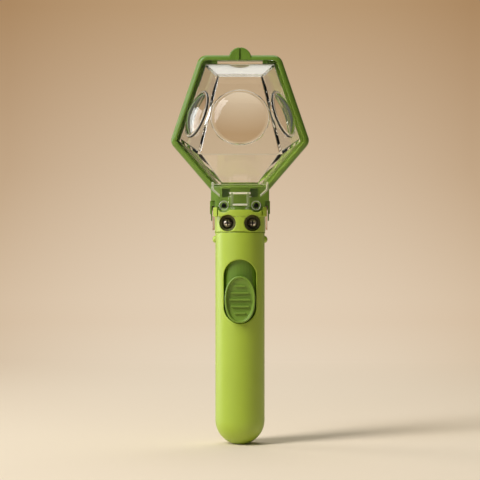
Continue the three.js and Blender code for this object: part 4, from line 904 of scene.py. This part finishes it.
def makeDoor():
    y, z, half, drop = hinge["y"], hinge["z"], door["tailHalf"], door["tailDrop"]
    cheekX, inset, soft, edge = door["cheekX"], door["inset"], door["soft"], door["edge"]
    lower = insetLine(head["waist"], head["elbow"], inset)
    upright = (Vector((cheekX[1], 0)), Vector((0, 1)))
    foot = crossing(lower, upright).y
    plate = prism("trapDoor", headOutline(inset, foot), "y", door["front"], door["back"], edge)
    apron = box("apron", span(cheekX[1]), (door["front"], door["back"]), door["apronZ"])
    bead = prism("bead", headOutline(inset, foot), "y", door["beadFront"], door["beadBack"], edge)
    bead = cut(bead, prism("beadSpace", headOutline(inset + door["bead"], foot + door["bead"]), "y", 7, 12))
    corners = [(y - half, z - drop, door["tailRound"]), (y + half, z - drop, door["tailRound"]), (y + half, z, 0),
               (y - half, z, 0)]
    tail = prism("tail", roundCorners(corners), "x", *cheekX, soft)
    strap = box("strap", cheekX, (door["front"], door["beadBack"]), (z, door["strapTop"]), soft)
    disc = rod("disc", door["disc"], *cheekX, "x", (y, z), 72, soft)
    cheek = join(disc, strap, tail)
    whole = cut(join(plate, apron, bead, *pair(cheek)), rod("bore", *hinge["bore"], "x", (y, z), 48))
    paint(whole, clearAcrylic, cheekAcrylic)
    for face in whole.data.polygons:
        face.material_index = 1 if face.center.z < (z + door["disc"]) * mm else 0
    return whole


dress(makeDoor(), None, "door", ["trap_door"], 30)
print("door made")

# thumb pad

pad = {
    "halfWidth": 9.8, "halfLength": 15.05, "z": 94.15, "front": -19, "back": -7.6, "fullness": 2.2, "rim": 1.4,
    "roll": 0.7, "rollDeep": 0.9, "dish": 2.3, "ribs": (0.36, 0.57, 0.68, 0.6, 0.37), "pitch": 4.35, "ribWide": 1.2,
    "ribTop": 0.6, "carriage": (13.7, 60, 130), "pilot": (1.2, -16.5, 0), "pilotZ": 88.05,
    # share of the way in from the rim, and share of the depth there: steep at once, then level
    "bowl": [(0, 0), (0.01, 0.5), (0.03, 0.86), (0.06, 1), (0.15, 1), (0.3, 1), (0.5, 1), (0.75, 1), (1, 1)],
}


def makePad():
    front, back, roll, rollDeep = pad["front"], pad["back"], pad["roll"], pad["rollDeep"]
    bowl = pad["halfWidth"] - pad["rim"] - 0.1
    rings = [(0, back, 0), (0, front + rollDeep, 0)]
    rings += [(roll - roll * math.cos(a), front + rollDeep - rollDeep * math.sin(a), 0) for a in
              [k * math.pi / 12 for k in range(1, 12)]]
    rings += [(pad["rim"] + bowl * share, front + rollDeep, deep) for share, deep in pad["bowl"]]

    def oval(inset, y, deep):
        # a little fuller than an ellipse; the floor is scooped along the thumb
        turns = [2 * math.pi * k / 160 for k in range(160)]
        full = lambda v: math.copysign(abs(v) ** (2 / pad["fullness"]), v)
        ring = []
        for t in turns:
            along = (pad["halfLength"] - inset) * full(math.sin(t))
            scoop = deep * (pad["dish"] - rollDeep) * (1 - (along / pad["halfLength"]) ** 2)
            ring.append(((pad["halfWidth"] - inset) * full(math.cos(t)), y + scoop, pad["z"] + along))
        return ring

    body = loft("thumbPad", [oval(*ring) for ring in rings])
    ribs = []
    for k, share in enumerate(pad["ribs"]):
        z, half = pad["z"] + (2 - k) * pad["pitch"], share * pad["halfWidth"]
        wide = pad["ribWide"] / 2
        outline = arc(half - wide, z, wide, -90, 90, 8) + arc(-half + wide, z, wide, 90, 270, 8)
        ribs.append(prism("rib", outline, "y", front + pad["ribTop"], front + 4, 0.15, 2))
    return dropSpecks(cut(join(body, *ribs), rod("carriageSpace", *pad["carriage"], steps=128),
                          rod("padPilot", *pad["pilot"], "y", (0, pad["pilotZ"]), 32)))


dress(makePad(), padAbs, "slider", ["thumb_pad"], 50)
print("thumb pad made")

# screws and side pins

collarScrew = {
    "head": 2.75, "tall": 2.6, "shank": 1.2, "length": 10.6, "y": -6.5, "arm": 0.42, "armReach": 0.62,
    "armLow": 0.25, "pit": 0.7, "pitLow": 0.15,
}
lugScrew = {"head": 1.6, "tall": 1.2, "shank": 0.9, "length": 7, "y": -10.6, "socket": 0.95, "socketDeep": 0.9}
thread = {"pitch": 1, "deep": 0.3}  # coarse thread for plastic, drawn as rings
sidePin = {"dome": 2.4, "tall": 2.2, "stem": 1.6, "length": 3.7, "chamfer": 0.2, "x": 15.7}


def screwBlank(name, screw):
    wide, tall, shank, length = screw["head"], screw["tall"], screw["shank"], screw["length"]
    tip, side, pitch, root = shank - length, tall * 0.45, thread["pitch"], shank - thread["deep"]
    profile = [(0, -length), (shank / 2, -length), (shank, tip)]
    for k in range(int((length - shank - 1) / pitch)):
        z = tip + k * pitch
        profile += [(shank, z), (root, z + pitch * 0.4), (root, z + pitch * 0.6)]
    profile += [(shank, -0.8), (shank, 0), (wide - 0.15, 0), (wide, 0.15), (wide, side)]
    profile += [(wide * math.cos(a), side + tall * 0.55 * math.sin(a)) for a in
                [k * math.pi / 20 for k in range(1, 10)]]
    return revolve(name, profile + [(0, tall)], 64)


def crossScrew(name, screw):
    wide, tall = screw["head"], screw["tall"]
    blank = screwBlank(name, screw)
    reach, arm, high = span(wide * screw["armReach"]), span(screw["arm"]), (tall * screw["armLow"], tall + 1)
    arms = [box("arm", reach, arm, high), box("arm", arm, reach, high)]
    whole = cut(blank, *arms, rod("pit", screw["pit"], tall * screw["pitLow"], tall + 1, steps=24))
    paint(whole, zincSteel, blackSteelAndShade)
    for face in whole.data.polygons:  # the cross recess is drawn in black steel, as painted shade
        place, upright = face.center / mm, abs(face.normal.z) < 0.01
        shadedRecess = math.hypot(place.x, place.y) < wide * 0.66 and 0.1 < place.z and (upright or place.z < tall * 0.3)
        face.material_index = 1 if shadedRecess else 0
    return whole


def socketScrew(name, screw):
    tall = screw["tall"]
    return cut(screwBlank(name, screw), rod("socket", screw["socket"], tall - screw["socketDeep"], tall + 1, steps=6))


def makePin(name):
    wide, tall, stem, foot, bevel = (sidePin[key] for key in ("dome", "tall", "stem", "length", "chamfer"))
    profile = [(0, -foot), (stem - bevel, -foot), (stem, bevel - foot), (stem, 0), (wide, 0)]
    profile += [(wide * math.cos(a), tall * math.sin(a)) for a in [k * math.pi / 24 for k in range(1, 12)]]
    return revolve(name, profile + [(0, tall)], 48)


toFront = Vector((0, -1, 0))
for side, sign in (("left", -1), ("right", 1)):
    place = (sign * collarWell[0], collarScrew["y"], collarWell[1])
    piece = aim(crossScrew(side + "CollarScrew", collarScrew), place, toFront)
    dress(piece, None, "handle", [f"collar_screw_{side}"])
    place = (sign * chamberLug[0], lugScrew["y"], chamberLug[1])
    piece = aim(socketScrew(side + "LugScrew", lugScrew), place, toFront)
    dress(piece, blackSteelAndShade, "handle", [f"lug_screw_{side}"])
    pin = aim(makePin(side + "Pin"), (sign * sidePin["x"], 0, grip["pinZ"]), (sign, 0, 0))
    dress(pin, limeAbs, "handle", [f"side_pin_{side}"])
print("screws and pins made")

# finishes of the CAD nodes that show as they are

carried = {
    "slide_carriage": leafAbs, "rack_bar": leafAbs, "door_sector": leafAbs, "hinge_shaft": zincSteel,
    "click_spring": zincSteel, "pad_screw": zincSteel, "rack_screw": zincSteel,
    "grip_screw_lower": zincSteel, "grip_screw_upper": zincSteel,
}
for name, material in carried.items():
    paint(nodes[name], material)
    smooth(nodes[name], 35)

# studio: from here on lengths are in metres, apart from the camera's lens and sensor

view = {"lens": 126.9, "sensor": 36, "place": (0, -1.1, 0.1323)}
paper = {
    "half": 1.0,  # little wider than the view, so that clear edges show a dark line
    "start": -3, "bendStart": 2.2, "bend": 1.2, "top": 4,
    "floor": "#e6d6bf", "wallLow": "#e2ceb5", "wallHighShade": "#bb9b76", "sides": "#eae2d8",
    "away": {"From Min": 0.4, "From Max": 1.6}, "rise": {"From Min": 0.01, "From Max": 0.745},
    "spill": {"From Min": 1.2, "From Max": 2.2, "To Max": 0.6}, "upper": {"From Max": 0.3, "To Min": 0.62},
    "fall": {"From Max": 0.0188}, "share": {"From Min": 0.05, "From Max": 0.75},
}
lamps = {
    "keyLamp": {"watts": 70, "place": (-1.59, -1.17, 1.82), "size": (0.8, 2.0)},
    "sideLamp": {"watts": 9, "place": (-1.4, 0.6, 0.45), "size": (0.6, 1.0)},
    "topLamp": {"watts": 10, "place": (0.1, 0.6, 1.9), "size": (1.2, 0.8)},
}
lampTarget = (0, 0, 0.13)
air = {"colour": "#eaf2e0", "fill": 0.11}


def makeSweep():
    # seamless paper: floor, a wide bend and the wall behind
    start, bend, half = paper["bendStart"], paper["bend"], paper["half"]
    path = [(paper["start"], 0), (start, 0)]
    path += [(start + bend * math.sin(a), bend - bend * math.cos(a)) for a in [k * math.pi / 48 for k in range(1, 25)]]
    path.append((start + bend, paper["top"]))
    points = [(x / mm, y / mm, z / mm) for y, z in path for x in (-half, half)]
    faces = [[2 * k, 2 * k + 1, 2 * k + 3, 2 * k + 2] for k in range(len(path) - 1)]
    sweep = newPiece("sweep", points, faces)
    sweep.data.shade_smooth()
    material, tree = newMaterial("sweepPaper")
    place = addNode(tree, "ShaderNodeNewGeometry").outputs["Position"]
    split = addNode(tree, "ShaderNodeSeparateXYZ", None, {"Vector": place})
    # painted shade: the paper is drawn darker going back, and darker again up the wall
    away = addNode(tree, "ShaderNodeMapRange", paper["away"], {"Value": split.outputs["Y"]})
    ground = addNode(tree, "ShaderNodeMix",
                     {"data_type": "RGBA", 6: toLinear(paper["floor"]), 7: toLinear(paper["wallLow"])},
                     {0: away.outputs["Result"]})
    rise = addNode(tree, "ShaderNodeMapRange", paper["rise"], {"Value": split.outputs["Z"]})
    wall = addNode(tree, "ShaderNodeMix", {"data_type": "RGBA", 7: toLinear(paper["wallHighShade"])},
                   {0: rise.outputs["Result"], 6: ground.outputs[2]})
    # above the view the paper is paler again, where the top lamp reaches it
    spill = addNode(tree, "ShaderNodeMapRange", paper["spill"], {"Value": split.outputs["Z"]})
    wall = addNode(tree, "ShaderNodeMix", {"data_type": "RGBA", 7: toLinear(paper["floor"])},
                   {0: spill.outputs["Result"], 6: wall.outputs[2]})
    # the light spreads as it goes back; towards both sides it falls off and grows warmer
    spread = addNode(tree, "ShaderNodeMath", {"operation": "ADD", 1: -view["place"][1]}, {0: split.outputs["Y"]})
    slant = addNode(tree, "ShaderNodeMath", {"operation": "DIVIDE"}, {0: split.outputs["X"], 1: spread.outputs[0]})
    aside = addNode(tree, "ShaderNodeMath", {"operation": "MULTIPLY"}, {0: slant.outputs[0], 1: slant.outputs[0]})
    upper = addNode(tree, "ShaderNodeMapRange", paper["upper"], {"Value": split.outputs["Z"]})
    reach = addNode(tree, "ShaderNodeMath", {"operation": "MULTIPLY"},
                    {0: aside.outputs[0], 1: upper.outputs["Result"]})
    fall = addNode(tree, "ShaderNodeMapRange", paper["fall"], {"Value": reach.outputs[0]})
    warmth = addNode(tree, "ShaderNodeMix", {"data_type": "RGBA", 6: toLinear("#ffffff"), 7: toLinear(paper["sides"])},
                     {0: fall.outputs["Result"]})
    dimmed = addNode(tree, "ShaderNodeMix", {"data_type": "RGBA", "blend_type": "MULTIPLY", 0: 1},
                     {6: wall.outputs[2], 7: warmth.outputs[2]})
    # paper under and near the object is lit and takes its shadow; further back it glows with the painted light and
    # shade drawn above
    matt = addNode(tree, "ShaderNodeBsdfDiffuse", None, {"Color": wall.outputs[2]})
    glow = addNode(tree, "ShaderNodeEmission", None, {"Color": dimmed.outputs[2]})
    share = addNode(tree, "ShaderNodeMapRange", paper["share"], {"Value": split.outputs["Y"]})
    mix = addNode(tree, "ShaderNodeMixShader", None,
                  {0: share.outputs["Result"], 1: matt.outputs["BSDF"], 2: glow.outputs["Emission"]})
    addNode(tree, "ShaderNodeOutputMaterial", None, {"Surface": mix.outputs["Shader"]})
    sweep.data.materials.append(material)


def addLamp(name, look):
    # softbox turned towards the object, its long side upright
    lamp = bpy.data.lights.new(name, "AREA")
    lamp.energy = look["watts"]
    lamp.shape = "RECTANGLE"
    lamp.size, lamp.size_y = look["size"]
    holder = newObject(name, lamp)
    holder.location = look["place"]
    holder.rotation_euler = (Vector(lampTarget) - Vector(look["place"])).to_track_quat("-Z", "Y").to_euler()


makeSweep()
for name, look in lamps.items():
    addLamp(name, look)

world = bpy.data.worlds.new("studioAir")
bpy.context.scene.world = world
world.use_nodes = True
world.node_tree.nodes.clear()
haze = addNode(world.node_tree, "ShaderNodeBackground", {"Color": toLinear(air["colour"]), "Strength": air["fill"]})
addNode(world.node_tree, "ShaderNodeOutputWorld", None, {"Surface": haze.outputs["Background"]})

# camera: level, 1.1 m in front, at the height of the side pins

cameraData = bpy.data.cameras.new("camera")
cameraData.lens = view["lens"]
cameraData.sensor_width = view["sensor"]
camera = newObject("camera", cameraData)
camera.location = view["place"]
camera.rotation_euler = (math.pi / 2, 0, 0)
bpy.context.scene.camera = camera
bpy.context.scene.view_settings.view_transform = "Standard"
print("studio and camera set")
